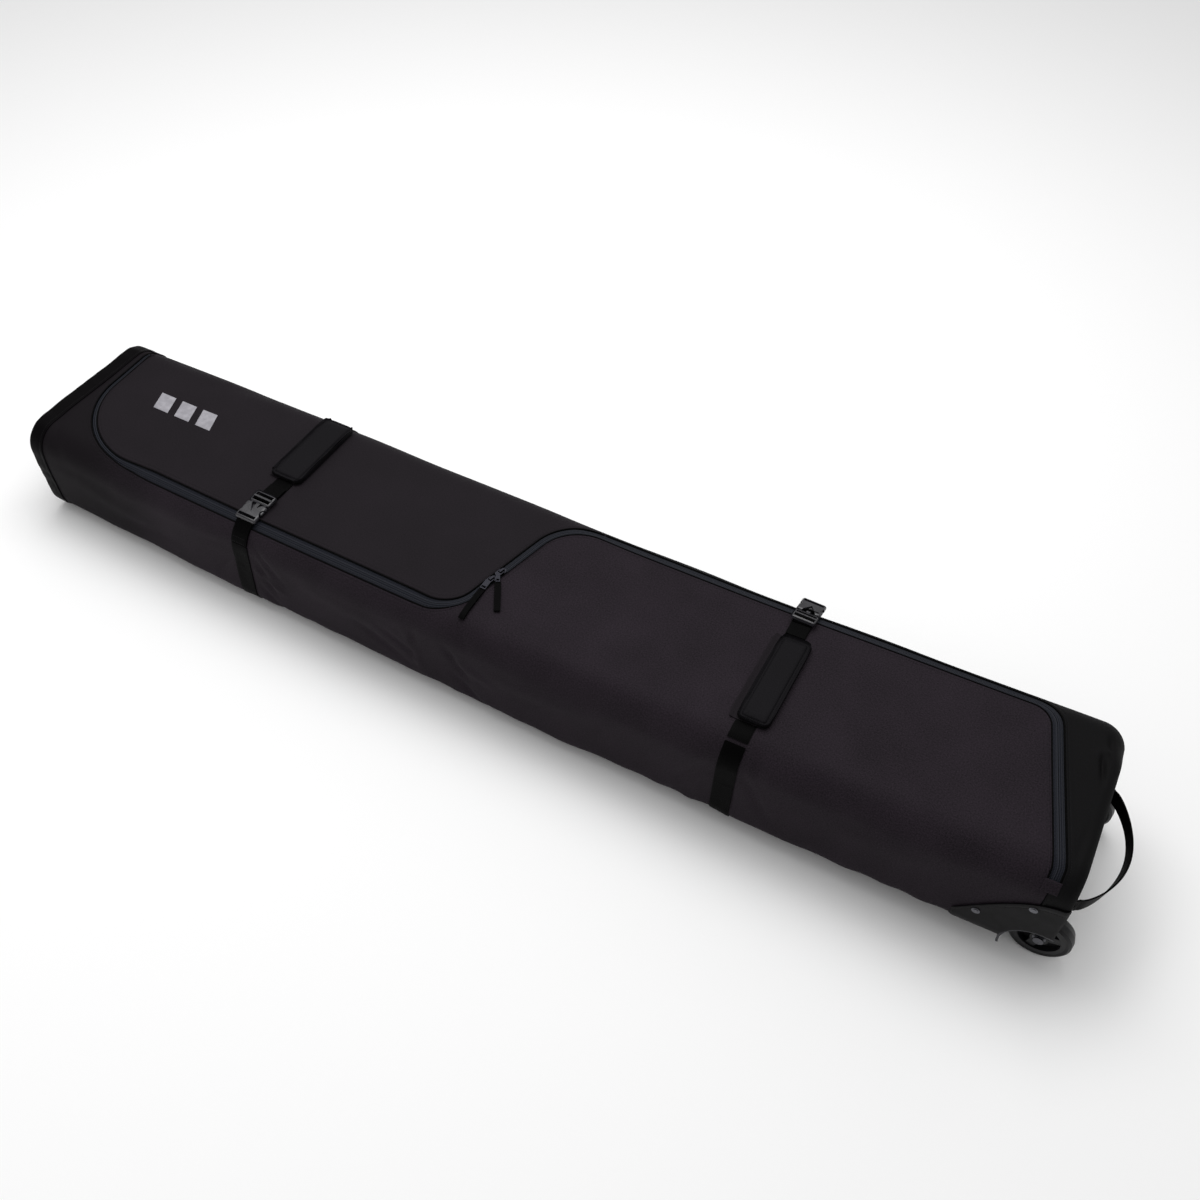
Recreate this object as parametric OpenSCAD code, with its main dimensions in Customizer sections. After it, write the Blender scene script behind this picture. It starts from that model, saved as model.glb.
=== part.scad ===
// Wheeled snowboard bag: a long soft case with two zipped lids, two
// carrying straps with side-release buckles, and two wheels at one end.
// The wheels are at the +X end, the near side is -Y, and the bag stands on Z = 0.

/* [Body] */
// Length of the fabric body, without wheels and end handle
body_len = 1730; // [1600:5:1830]
// Greatest width of the body
body_w = 305; // [290:1:320]
// Mean height of the body
body_h = 174.7; // [165:0.1:190]
// How much taller the wheel end is than the middle
body_rise = 8.4; // [4:0.1:12]
// How far the top sags between the ends
body_sag = 6.6; // [0:0.1:10]
// How high the wheels lift the end of the base
wheel_lift = 29.2; // [24:0.1:34]
// Radius of the long edges at the top
top_r = 45; // [40:1:50]
// Radius of the long edges at the bottom
bottom_r = 35; // [30:1:40]

/* [Layers] */
// Outer fabric with its backing
fabric_t = 2.5; // [2:0.1:3]
// Foam sheet inside the walls
foam_t = 5; // [3:0.5:6]
// Plastic sheet on the floor of the bag
stiffener_t = 3; // [2:0.5:4]
// Webbing and binding tape
webbing_t = 1.4; // [1:0.1:1.8]
// Width of the strap webbing
webbing_w = 30; // [25:1:32]

/* [Zip] */
// Distance of the long zip lines from the centre line
zip_side = 121; // [118:0.5:123]
// Width of one zip tape that shows beside the teeth
tape_w = 9; // [6:0.5:11]
// Thickness of the zip tape and teeth
tape_t = 2; // [1.5:0.1:2.5]

/* [Wheels] */
// Radius of the tyre
wheel_r = 43; // [40:0.5:45]
// Width of the tyre
wheel_w = 24; // [20:1:26]
// Radius of the axle
axle_r = 4; // [3:0.5:5]
// Radial play between the axle and the bearings
axle_play = 0.05; // [0.02:0.01:0.1]

/* [Fittings] */
// Width of a buckle
buckle_w = 38; // [36:1:42]
// How far the end handle stands out
handle_out = 50; // [40:1:60]
// Thickness of a carrying pad
pad_t = 9; // [7:1:12]

/* [Hidden] */

// Clearances
gap = 0.3;
hem_gap = 1.4; // between the zip tape and the fabric beside it
seam_gap = 2.2; // between a wall and the panel above it
foam_gap = 1;
skin = 1.8; // the binding at the nose stands this far below the base
binding_w = 27;

// Places along the body, from its middle
half_len = body_len / 2;
x_nose = -half_len;
x_end = half_len;
lift_start = 100;
mid_x = -handle_out / 2; // puts the whole bag's box over the origin
left_strap_x = -427;
right_strap_x = 402;
wheel_x = x_end - 11;
wheel_y = 113; // middle of the tyre
well_r = wheel_r + 7.5;
well_y = 92;

// Colours
cloth_warm = "#1d1a20";
cloth_plain = "#1c1c1d";
tape_grey = "#33363c";
webbing_black = "#151515";
foam_grey = "#4a4a4c";
plastic_grey = "#55565a";
plastic_black = "#1a1a1b";
steel = "#8d9096";
silver_rubber = "#b9bcc2";
tyre_black = "#141414";

// ---- Shape of the body ----
function part_way(x) = x / half_len;
function half_w(x) = body_w / 2 - 9.9 * pow(max(0, -part_way(x)), 3) - 5.6 * pow(max(0, part_way(x)), 3);
function floor_z(x) =
    skin + wheel_lift * pow(max(0, (x - lift_start) / (half_len - lift_start)), 1.5);
function flat_top(x) =
    floor_z(x) + body_h + body_rise * part_way(x) - body_sag * (1 - pow(part_way(x), 2));
function edge_drop(over, r) = over <= 0 ? 0 : r - sqrt(max(0, r * r - over * over));
function top_z(x, y) = flat_top(x) - edge_drop(abs(y) - (half_w(x) - top_r), top_r);
// A point of the top, from x and the distance v that it has from the centre line at the middle
function side_y(x, v) = v * half_w(x) / half_w(0);
function lip_angle(x, v) = asin(min(1, (side_y(x, v) - half_w(x) + top_r) / top_r));

// ---- Closed sheet between two grids of points ----
function flat(grid) = [for (row = grid) for (p = row) p];
function two(p, q, r, s) = [[p, q, r], [p, r, s]];
function normal_at(a, i, j) = cross(a[i + 1][j] - a[i][j], a[i][j + 1] - a[i][j]);
function turned(faces, turn) = turn ? [for (f = faces) [f[2], f[1], f[0]]] : faces;

module sheet(a, b) {
    rows = len(a);
    cols = len(a[0]);
    all = rows * cols;
    i0 = floor(rows / 2) - 1;
    j0 = max(0, floor(cols / 2) - 1);
    outward = normal_at(a, i0, j0) * (a[i0][j0] - b[i0][j0]) > 0;
    skin_faces = [for (i = [0:rows - 2]) for (j = [0:cols - 2]) let (k = i * cols + j)
        each concat(two(k + cols + 1, k + cols, k, k + 1),
            two(all + k, all + k + cols, all + k + cols + 1, all + k + 1))];
    side_faces = [for (i = [0:rows - 2]) let (k = i * cols, e = k + cols - 1)
        each concat(two(k + cols, all + k + cols, all + k, k),
            two(all + e, all + e + cols, e + cols, e))];
    end_faces = [for (j = [0:cols - 2]) let (e = (rows - 1) * cols + j)
        each concat(two(all + j, all + j + 1, j + 1, j),
            two(e + 1, all + e + 1, all + e, e))];
    polyhedron(concat(flat(a), flat(b)), turned(concat(skin_faces, side_faces, end_faces), !outward));
}

// ---- Panels of the top, between two plan curves ----
edge_steps = 3; // rows of a panel over the round edge
// Where the round edge starts, as a share of the way from p to q
function edge_share(p, q) = let (
    flat_y = (half_w(q.x) - top_r) * sign(q.y - p.y),
    share = (flat_y - p.y) / (q.y - p.y)) min(0.92, max(0.08, share));
function shares(p, q, steps) = steps <= edge_steps ? [for (j = [0:steps]) j / steps]
    : let (e = edge_share(p, q), n = steps - edge_steps) concat(
        [for (j = [0:n]) e * j / n],
        [for (j = [1:edge_steps]) e + (1 - e) * j / edge_steps]);
function top_grid(from, to, steps, depth) = [for (i = [0:len(from) - 1])
    [for (t = shares(from[i], to[i], steps)) let (p = from[i] + (to[i] - from[i]) * t)
        [p.x, p.y, top_z(p.x, p.y) - depth]]];

module top_patch(from, to, steps, depth, thick) {
    sheet(top_grid(from, to, steps, depth), top_grid(from, to, steps, depth + thick));
}

// ---- Side walls: over the top edge, down and under the bottom edge ----
function corner(x, r, depth, angle, z) =
    [x, -(half_w(x) - r) - (r - depth) * sin(angle), z + (r - depth) * cos(angle)];
function wall_line(x, depth, start, stop, steps) = concat(
    [for (k = [0:steps]) corner(x, top_r, depth, min(start + (90 - start) * k / steps, stop),
        flat_top(x) - top_r)],
    stop <= 90 ? [] : [for (k = [0:steps]) corner(x, bottom_r, depth, 90 + (stop - 90) * k / steps,
        floor_z(x) + bottom_r)]);

module wall(x0, x1, cuts, v, stop, depth, thick, steps = 5) {
    xs = [for (i = [0:cuts]) x0 + (x1 - x0) * i / cuts];
    sheet([for (x = xs) wall_line(x, depth, lip_angle(x, v), stop, steps)],
        [for (x = xs) wall_line(x, depth + thick, lip_angle(x, v), stop, steps)]);
}

// ---- Outline of the body across its length ----
function outline(x, grow) = let (w = half_w(x), f = floor_z(x), t = flat_top(x)) concat(
    [for (a = [90:-10:0]) [w - top_r + (top_r + grow) * cos(a), t - top_r + (top_r + grow) * sin(a)]],
    [for (a = [0:-10:-90]) [w - bottom_r + (bottom_r + grow) * cos(a),
        f + bottom_r + (bottom_r + grow) * sin(a)]],
    [for (a = [-90:-10:-180]) [-w + bottom_r + (bottom_r + grow) * cos(a),
        f + bottom_r + (bottom_r + grow) * sin(a)]],
    [for (a = [180:-10:90]) [-w + top_r + (top_r + grow) * cos(a),
        t - top_r + (top_r + grow) * sin(a)]]);

module across(x, thick) {
    translate([x, 0, 0]) rotate([90, 0, 90]) linear_extrude(thick) children();
}

// ---- The zip: one S-shaped line with round corners ----
// x, distance from the centre line and corner radius
zip_turns = [[x_nose + 39, zip_side, 0], [x_nose + 50, -zip_side, 150], [-55, -zip_side, 60],
    [5, zip_side, 80], [x_end - 101, zip_side, 40], [x_end - 37, -zip_side - 6, 0]];
function unit(v) = v / norm(v);
function round_turn(p, q, s, r, steps) = let (
    a = unit([p.x - q.x, p.y - q.y]),
    b = unit([s.x - q.x, s.y - q.y]),
    half = acos(a * b) / 2,
    mid = [q.x, q.y] + unit(a + b) * r / sin(half),
    start = [q.x, q.y] + a * r / tan(half) - mid,
    turn = cross([start.x, start.y, 0], [b.x, b.y, 0]).z > 0 ? 1 : -1)
    [for (k = [0:steps]) let (g = turn * (180 - 2 * half) * k / steps)
        mid + [start.x * cos(g) - start.y * sin(g), start.x * sin(g) + start.y * cos(g)]];
function straight(p, q, steps) = [for (k = [1:steps - 1]) p + (q - p) * k / steps];
turn_a = round_turn(zip_turns[0], zip_turns[1], zip_turns[2], zip_turns[1].z, 9);
turn_b = round_turn(zip_turns[1], zip_turns[2], zip_turns[3], zip_turns[2].z, 8);
turn_c = round_turn(zip_turns[2], zip_turns[3], zip_turns[4], zip_turns[3].z, 8);
turn_d = round_turn(zip_turns[3], zip_turns[4], zip_turns[5], zip_turns[4].z, 7);
zip_start = [zip_turns[0].x, zip_turns[0].y];
zip_end = [zip_turns[5].x, zip_turns[5].y];
nose_part = concat([zip_start], straight(zip_start, turn_a[0], 2), turn_a,
    straight(turn_a[9], turn_b[0], 8));
cross_part = concat(turn_b, straight(turn_b[8], turn_c[0], 3), turn_c);
far_part = concat(straight(turn_c[8], turn_d[0], 9), turn_d, straight(turn_d[7], zip_end, 4), [zip_end]);

// Moves a plan line sideways, to its left when off is positive, and fits it to the body's width
function beside(line, off) = [for (i = [0:len(line) - 1]) let (
    d = unit(line[min(i + 1, len(line) - 1)] - line[max(i - 1, 0)]),
    p = line[i] + off * [-d.y, d.x]) [p.x, side_y(p.x, p.y)]];
function within(line, limit) = [for (p = line) if (abs(p.y) < side_y(p.x, limit)) p];
function along(line, v) = [for (p = line) [p.x, side_y(p.x, v)]];

tape_near = gap;
tape_far = gap + tape_w;
panel_off = tape_far + hem_gap;
hem_v = zip_side + panel_off; // where the walls begin
hinge_v = hem_v - seam_gap; // where the lids end at their fold
foam_off = panel_off + 6;

left_line = concat(nose_part, cross_part);
right_line = concat(cross_part, far_part);

module zip_ribbon(line, from, to) {
    top_patch(beside(line, from), beside(line, to), 1, -gap, tape_t);
}

// ---- Room for a wheel ----
module mirrored(far) {
    if (far) mirror([0, 1, 0]) children();
    else children();
}

module wheel_well() {
    translate([wheel_x, -well_y, wheel_r]) rotate([90, 0, 0]) cylinder(r = well_r, h = 80, $fn = 64);
    translate([wheel_x - well_r, -well_y - 80, -5]) cube([2 * well_r, 80, wheel_r + 5]);
    translate([wheel_x, -well_y - 80, -5]) cube([well_r + 5, 80, wheel_r + 5 + well_r]);
}

module both_wells() {
    wheel_well();
    mirror([0, 1, 0]) wheel_well();
}

// ---- Base ----
function base_grid(xs, inset, z) =
    [for (x = xs) [for (s = [-1, 0, 1]) [x, s * (half_w(x) - bottom_r - inset), floor_z(x) + z]]];

module base_layer(inset, depth, thick, x0, x1, cuts = 14) {
    xs = [for (i = [0:cuts]) x0 + (x1 - x0) * i / cuts];
    difference() {
        sheet(base_grid(xs, inset, depth), base_grid(xs, inset, depth + thick));
        both_wells();
    }
}

// The shell's first strip is under the nose binding, and the rest of it is the face that rests
module base_shell() {
    color(cloth_plain) translate([mid_x, 0, 0]) {
        base_layer(gap, 0, fabric_t, x_nose + 5, x_nose + binding_w, 1);
        base_layer(gap, 0, fabric_t, x_nose + binding_w + 1, x_end - 5);
    }
}

module base_foam() {
    color(foam_grey) translate([mid_x, 0, 0])
        base_layer(gap + 2, fabric_t + foam_gap, foam_t, x_nose + 8, x_end - 8);
}

module base_stiffener() {
    color(plastic_black) translate([mid_x, 0, 0])
        base_layer(gap + 4, fabric_t + foam_t + 2 * foam_gap, stiffener_t, x_nose + 10, x_end - 10);
}

// ---- Walls: three panels, with their seams under the straps ----
wall_seams = [x_nose + 5, left_strap_x, right_strap_x, x_end - 5];
wall_cuts = [6, 11, 7];

module side_wall(far) {
    color(cloth_warm) translate([mid_x, 0, 0]) mirrored(far) difference() {
        for (k = [0:2])
            wall(wall_seams[k] + gap, wall_seams[k + 1] - gap, wall_cuts[k], hem_v, 180, 0, fabric_t);
        wheel_well();
    }
}

module side_foam(far) {
    color(foam_grey) translate([mid_x, 0, 0]) mirrored(far) difference() {
        for (k = [0:2])
            wall(wall_seams[k] + 3, wall_seams[k + 1] - 3, wall_cuts[k], hem_v + 3, 176,
                fabric_t + foam_gap, foam_t);
        wheel_well();
    }
}

module near_wall() { side_wall(false); }
module far_wall() { side_wall(true); }
module near_wall_foam() { side_foam(false); }
module far_wall_foam() { side_foam(true); }

// ---- Ends ----
module nose_panel() {
    color(cloth_warm) translate([mid_x, 0, 0]) across(x_nose + 1, 3.6) polygon(outline(x_nose, 0));
}

module nose_binding() {
    color(webbing_black) translate([mid_x, 0, 0]) across(x_nose, binding_w) difference() {
        polygon(outline(x_nose + binding_w, skin));
        polygon(outline(x_nose + binding_w, gap));
    }
}

module wheel_end_panel() {
    color(cloth_plain) translate([mid_x, 0, 0]) difference() {
        across(x_end - 4.6, 4.6) polygon(outline(x_end, 0));
        both_wells();
    }
}

module nose_top_strip() {
    inner = within(beside(nose_part, -panel_off), hinge_v);
    outer = [for (p = inner) [x_nose + 5, p.y * half_w(x_nose + 5) / half_w(p.x)]];
    color(cloth_warm) translate([mid_x, 0, 0]) top_patch(outer, inner, 3, 0, fabric_t);
}

module wheel_end_top_strip() {
    inner = within(beside(far_part, panel_off), hinge_v);
    outer = [for (p = inner) [x_end - 5, p.y * half_w(x_end - 5) / half_w(p.x)]];
    color(cloth_plain) translate([mid_x, 0, 0]) top_patch(inner, outer, 3, 0, fabric_t);
}

// ---- Zip ----
module zip_tape_near() {
    color(tape_grey) translate([mid_x, 0, 0]) zip_ribbon(nose_part, -tape_far, -tape_near);
}

module zip_tape_far() {
    color(tape_grey) translate([mid_x, 0, 0]) zip_ribbon(far_part, tape_near, tape_far);
}

module left_lid_zip_tape() {
    color(tape_grey) translate([mid_x, 0, 0]) zip_ribbon(left_line, tape_near, tape_far);
}

module right_lid_zip_tape() {
    color(tape_grey) translate([mid_x, 0, 0]) zip_ribbon(right_line, -tape_far, -tape_near);
}

// A stitched tab closes the zip at each end, outside the lids
tab_half = 9;
tab_steps = 9;
tab_off = 0.5;

module zip_end_tab(x, v, stop) {
    wall(x - tab_half, x + tab_half, 1, v, stop, -tab_off - webbing_t, webbing_t, tab_steps);
}

module zip_end_tabs() {
    color(webbing_black) translate([mid_x, 0, 0]) {
        mirror([0, 1, 0]) zip_end_tab(zip_start.x, hem_v + 2, 60);
        zip_end_tab(zip_end.x, hem_v + 5, 66);
    }
}

// ---- Lids ----
left_edge = within(beside(left_line, panel_off), zip_side - 3);
right_edge = within(beside(right_line, -panel_off), zip_side - 3);
left_foam_edge = within(beside(left_line, foam_off), zip_side - 9);
right_foam_edge = within(beside(right_line, -foam_off), zip_side - 9);

module left_lid() {
    color(cloth_plain) translate([mid_x, 0, 0])
        top_patch(left_edge, along(left_edge, hinge_v), 7, 0, fabric_t);
}

module left_lid_foam() {
    color(foam_grey) translate([mid_x, 0, 0])
        top_patch(left_foam_edge, along(left_foam_edge, hinge_v - 6), 6, fabric_t + foam_gap, foam_t);
}

module right_lid() {
    color(cloth_warm) translate([mid_x, 0, 0])
        top_patch(right_edge, along(right_edge, -hinge_v), 7, 0, fabric_t);
}

module right_lid_foam() {
    color(foam_grey) translate([mid_x, 0, 0])
        top_patch(right_foam_edge, along(right_foam_edge, -hinge_v + 6), 6, fabric_t + foam_gap, foam_t);
}

// A plain rubber badge: three slanted bars
bar_x = x_nose + 140;
bar_pitch = 44;
bar_w = 30;
bar_y = [8, 44];
bar_slant = 12;
bar_t = 1;

module left_lid_emblem() {
    color(silver_rubber) translate([mid_x, 0, 0]) for (k = [0:2]) {
        x = bar_x + bar_pitch * k;
        low = [for (s = [0:1]) [x + bar_w * s, bar_y[0]]];
        high = [for (s = [0:1]) [x + bar_w * s - bar_slant, bar_y[1]]];
        top_patch(high, low, 2, -gap - bar_t, bar_t);
    }
}

// ---- Strap webbing ----
strap_half = webbing_w / 2;
buckle_tilt_left = 5;
buckle_tilt_right = 18;
left_buckle_y = -66; // end of the plug, where the webbing enters
right_buckle_y = 97;
left_buckle_up = 6;
right_buckle_up = 8.5;

module strap_side(x, far, v, stop) {
    color(webbing_black) translate([mid_x, 0, 0]) mirrored(far)
        wall(x - strap_half, x + strap_half, 1, v, stop, -gap - webbing_t, webbing_t, 6);
}

module strap_top(x, y0, y1) {
    color(webbing_black) translate([mid_x, 0, 0])
        top_patch([for (s = [-1, 1]) [x + s * strap_half, y0]], [for (s = [-1, 1]) [x + s * strap_half, y1]],
            24, -gap - webbing_t, webbing_t);
}

fold_angle = 70; // where the socket's webbing folds away from the side
fold_v = half_w(0) - top_r + top_r * sin(fold_angle + 3);

module left_strap_near() { strap_side(left_strap_x, false, fold_v, 150); }
module left_strap_far() { strap_side(left_strap_x, true, hem_v + 1, 150); }
module right_strap_near() { strap_side(right_strap_x, false, hem_v + 1, 150); }
module right_strap_far() { strap_side(right_strap_x, true, fold_v, 150); }
module left_strap_top() { strap_top(left_strap_x, left_buckle_y + 9, hinge_v - 2); }
module right_strap_top() { strap_top(right_strap_x, -hinge_v + 2, right_buckle_y - 9); }

// The socket's webbing, doubled over its bar and sewn
module socket_loop(x, far, start) {
    color(webbing_black) translate([mid_x, 0, 0]) mirrored(far)
        wall(x - strap_half, x + strap_half, 1, start, fold_angle, -gap - 2 * webbing_t, 2 * webbing_t, 6);
}

module left_socket_loop() { socket_loop(left_strap_x, false, 133); }
module right_socket_loop() { socket_loop(right_strap_x, true, 139); }

// ---- Carrying pads: folded round the webbing, open at both ends ----
pad_w = 52;
channel_h = 4; // room for the webbing under the pad
function slope(x) = atan((flat_top(x + pad_w / 2) - flat_top(x - pad_w / 2)) / pad_w);

// The pad lies on the lid's own slope, and its middle is off to one side of the strap
module carry_pad(strap_x, off, y0, y1) {
    long = y1 - y0;
    edge = (pad_w - pad_t) / 2;
    color(cloth_plain) translate([mid_x + strap_x, y0, flat_top(strap_x) + gap])
        rotate([0, -slope(strap_x), 0]) difference() {
            union() {
                translate([off - edge, 0, 0]) cube([2 * edge, long, pad_t]);
                for (s = [-1, 1]) translate([off + s * edge, long, pad_t / 2]) rotate([90, 0, 0])
                    cylinder(d = pad_t, h = long, $fn = 32);
            }
            translate([-strap_half - 1, -1, -1]) cube([webbing_w + 2, long + 2, channel_h + 1]);
        }
}

module left_carry_pad() { carry_pad(left_strap_x, -3, -20, 110); }
module right_carry_pad() { carry_pad(right_strap_x, 2, -97, 65); }

// ---- Buckles ----
frame_len = 24;
frame_t = 5;
socket_len = 35;
socket_t = 8;
prong_len = 20;

// The plug lies along its own +Y, with the bar for the webbing at the back
module plug() {
    h = buckle_w / 2;
    difference() {
        union() {
            translate([-h + 4, 0, 0]) cube([buckle_w - 8, frame_len, frame_t]);
            for (s = [-1, 1]) translate([s * (h - 4), 4, 0]) cylinder(r = 4, h = frame_t, $fn = 32);
            translate([-h, 4, 0]) cube([buckle_w, frame_len - 4, frame_t]);
        }
        translate([-strap_half - 0.5, 4, -1]) cube([webbing_w + 1, 6.5, frame_t + 2]);
        translate([-strap_half - 0.5, 13.5, -1]) cube([webbing_w + 1, 6, frame_t + 2]);
    }
    translate([-3, frame_len, 1]) cube([6, prong_len - 2, 3]);
    for (s = [-1, 1]) {
        translate([s * 12 - 2, frame_len, 1]) cube([4, prong_len, 3]);
        translate([s * 14 - 2.5, frame_len + prong_len - 5, 1]) cube([5, 5, 3]);
    }
}

module socket() {
    h = buckle_w / 2;
    front = frame_len + gap;
    difference() {
        union() {
            translate([-h, front, -1.5]) cube([buckle_w, socket_len - 4, socket_t]);
            translate([-h + 4, front + socket_len - 4, -1.5]) cube([buckle_w - 8, 4, socket_t]);
            for (s = [-1, 1]) translate([s * (h - 4), front + socket_len - 4, -1.5])
                cylinder(r = 4, h = socket_t, $fn = 32);
        }
        // room for the prongs, open at the front and at the sides
        translate([-h + 2.2, front - 1, 0.6]) cube([buckle_w - 4.4, prong_len + 2, 3.8]);
        for (s = [-1, 1]) translate([s * (h - 2) - 3, front + 8, 0.6]) cube([6, prong_len - 8, 3.8]);
        // V-shaped window in the upper face
        translate([0, 0, 3]) linear_extrude(5)
            polygon([[-7, front - 1], [7, front - 1], [2, front + 12], [-2, front + 12]]);
        // slot and bar for the webbing
        translate([-strap_half - 0.5, front + 25, -3]) cube([webbing_w + 1, 5.5, socket_t + 4]);
    }
}

module on_left_strap() {
    translate([mid_x + left_strap_x, left_buckle_y, flat_top(left_strap_x) + left_buckle_up])
        rotate([-buckle_tilt_left, 0, 180]) children();
}

module on_right_strap() {
    translate([mid_x + right_strap_x, right_buckle_y, flat_top(right_strap_x) + right_buckle_up])
        rotate([-buckle_tilt_right, 0, 0]) children();
}

module left_buckle_plug() { color(plastic_grey) on_left_strap() plug(); }
module right_buckle_plug() { color(plastic_grey) on_right_strap() plug(); }
module left_buckle_socket() { color(plastic_grey) on_left_strap() socket(); }
module right_buckle_socket() { color(plastic_grey) on_right_strap() socket(); }

// ---- Sliders and pulls, on the straight stretch between the lids ----
slant = unit([zip_turns[3].x - zip_turns[2].x, zip_turns[3].y - zip_turns[2].y]);
slant_turn = atan2(slant.y, slant.x);
slider_len = 13;
slider_w = 10;
left_slider_at = [zip_turns[2].x, zip_turns[2].y] + slant * 83;
right_slider_at = [zip_turns[2].x, zip_turns[2].y] + slant * 104;
left_pull_yaw = 15; // how far each pull turns out of line with its slider
right_pull_yaw = 44;
pin_z = 3.1;
arm_len = 8;
link_t = 1.8;
left_link_w = 9;
right_link_w = 6.5;
tab_len = 64;

module at_slider(p, turn) {
    translate([mid_x + p.x, p.y, flat_top(p.x) + gap * 2]) rotate([0, 0, turn]) children();
}

module slider(p) {
    color(steel) at_slider(p, slant_turn) difference() {
        union() {
            translate([-slider_len / 2 + 3, -slider_w / 2, 0]) cube([slider_len - 6, slider_w, 1.6]);
            for (s = [-1, 1]) translate([s * (slider_len / 2 - 3), 0, 0])
                cylinder(d = slider_w - 1, h = 1.6, $fn = 40);
            translate([-4.5, -1.5, 1.6]) cube([9, 3, 4]);
        }
        translate([-3, -3, 1.8]) cube([6, 6, 2.6]);
    }
}

// The link's pin lies under the slider's bridge, and its two arms pass beside it
module pull_link(p, yaw, wide) {
    color(steel) at_slider(p, slant_turn + 180) translate([0, 0, pin_z]) {
        rotate([90, 0, 0]) cylinder(r = link_t / 2, h = 9, center = true, $fn = 32);
        for (s = [-1, 1]) translate([0, s * 3.9 - 0.6, -link_t / 2]) cube([arm_len, 1.2, link_t]);
        difference() {
            union() {
                translate([arm_len, 0, -link_t / 2]) cylinder(d = 9, h = link_t, $fn = 40);
                translate([arm_len, 0, -link_t / 2]) rotate([0, 0, yaw]) translate([0, -wide / 2, 0])
                    cube([16, wide, link_t]);
            }
            translate([arm_len, 0, -link_t]) rotate([0, 0, yaw]) translate([10.5, 1 - wide / 2, 0])
                cube([3.5, wide - 2, 5]);
            translate([-5.5, -3.3, -link_t]) cube([11, 6.6, 2 * link_t]);
        }
    }
}

module pull_tab(p, yaw) {
    color(webbing_black) at_slider(p, slant_turn + 180) translate([arm_len, 0, pin_z - 1.3])
        rotate([0, 0, yaw]) translate([16 + gap, -5, 0]) cube([tab_len, 10, 2.6]);
}

module left_slider() { slider(left_slider_at); }
module right_slider() { slider(right_slider_at); }
module left_pull_link() { pull_link(left_slider_at, left_pull_yaw, left_link_w); }
module right_pull_link() { pull_link(right_slider_at, right_pull_yaw, right_link_w); }
module left_pull_tab() { pull_tab(left_slider_at, left_pull_yaw); }
module right_pull_tab() { pull_tab(right_slider_at, right_pull_yaw); }

// ---- Wheel-end corner guards, arches and wheels ----
guard_x = x_end - 128;
guard_in = 1;
guard_out = guard_in + 1.5;
function guard_top(x) = let (t = (x - guard_x) / (x_end - guard_x)) 66 + 98 * sin(90 * t);
function guard_line(x, depth) = [for (k = [0:9]) let (
    low = floor_z(x) + bottom_r * (1 - cos(30)),
    z = low + (guard_top(x) - low) * k / 9,
    under = floor_z(x) + bottom_r - z,
    drop = edge_drop(under, bottom_r)) [x, -half_w(x) + drop + depth, z]];

module corner_guard(far) {
    xs = [for (i = [0:8]) guard_x + (x_end - guard_x) * i / 8];
    color(plastic_black) translate([mid_x, 0, 0]) mirrored(far) difference() {
        sheet([for (x = xs) guard_line(x, -guard_out)], [for (x = xs) guard_line(x, -guard_in)]);
        wheel_well();
    }
}

module corner_guard_near() { corner_guard(false); }
module corner_guard_far() { corner_guard(true); }

arch_t = 3;
arch_out = half_w(x_end) + guard_out - 0.5;

module wheel_arch(far) {
    color(plastic_grey) translate([mid_x, 0, 0]) mirrored(far) difference() {
        intersection() {
            translate([wheel_x, -well_y - gap, wheel_r]) rotate([90, 0, 0])
                cylinder(r = well_r - gap, h = arch_out - well_y - gap, $fn = 64);
            translate([wheel_x - well_r, -arch_out, wheel_r - 12]) cube([x_end - wheel_x + well_r, 90, 90]);
        }
        translate([wheel_x, -well_y - gap - arch_t, wheel_r]) rotate([90, 0, 0])
            cylinder(r = well_r - gap - arch_t, h = 90, $fn = 64);
        translate([wheel_x, -well_y + 20, wheel_r]) rotate([90, 0, 0]) cylinder(r = axle_r, h = 40, $fn = 32);
    }
}

module wheel_arch_near() { wheel_arch(false); }
module wheel_arch_far() { wheel_arch(true); }

// Two rivets hold each guard
module guard_rivets() {
    color(steel) translate([mid_x, 0, 0]) for (far = [false, true]) mirrored(far)
        for (p = [[x_end - 100, 84], [x_end - 41, 141]])
            translate([p.x, -half_w(p.x) - guard_out - gap, p.y]) rotate([90, 0, 0]) {
                cylinder(r = 5.5, h = 1, $fn = 32);
                cylinder(r = 3.5, h = 1.8, $fn = 32);
            }
}

axle_out = wheel_y + wheel_w / 2 + 2.5;

module axle(far) {
    color(steel) translate([mid_x, 0, 0]) mirrored(far) translate([wheel_x, 0, wheel_r]) rotate([90, 0, 0]) {
        translate([0, 0, well_y + gap]) cylinder(r = axle_r, h = axle_out - well_y - gap, $fn = 48);
        translate([0, 0, axle_out]) cylinder(r = axle_r + 3, h = 1.8, $fn = 48);
    }
}

module axle_near() { axle(false); }
module axle_far() { axle(true); }

hub_r = 12;
bearing_r = 9;
rim_in = 28;
rim_out = 34;

module on_axle(far) {
    translate([mid_x, 0, 0]) mirrored(far) translate([wheel_x, -wheel_y, wheel_r]) rotate([90, 0, 0])
        children();
}

module wheel_hub(far) {
    half = wheel_w / 2;
    side = half - 1;
    web = 2;
    color(plastic_black) on_axle(far) union() {
        rotate_extrude($fn = 96)
            polygon([[bearing_r, -half], [hub_r, -half], [hub_r, -web], [rim_in, -web], [rim_in, -side],
                [rim_out, -side], [rim_out, side], [rim_in, side], [rim_in, web], [hub_r, web],
                [hub_r, half], [bearing_r, half]]);
        for (k = [0:2]) rotate([0, 0, 120 * k + 17])
            translate([hub_r - 1, -6, -side + 2]) cube([rim_in - hub_r + 3, 12, 2 * side - 4]);
    }
}

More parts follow.
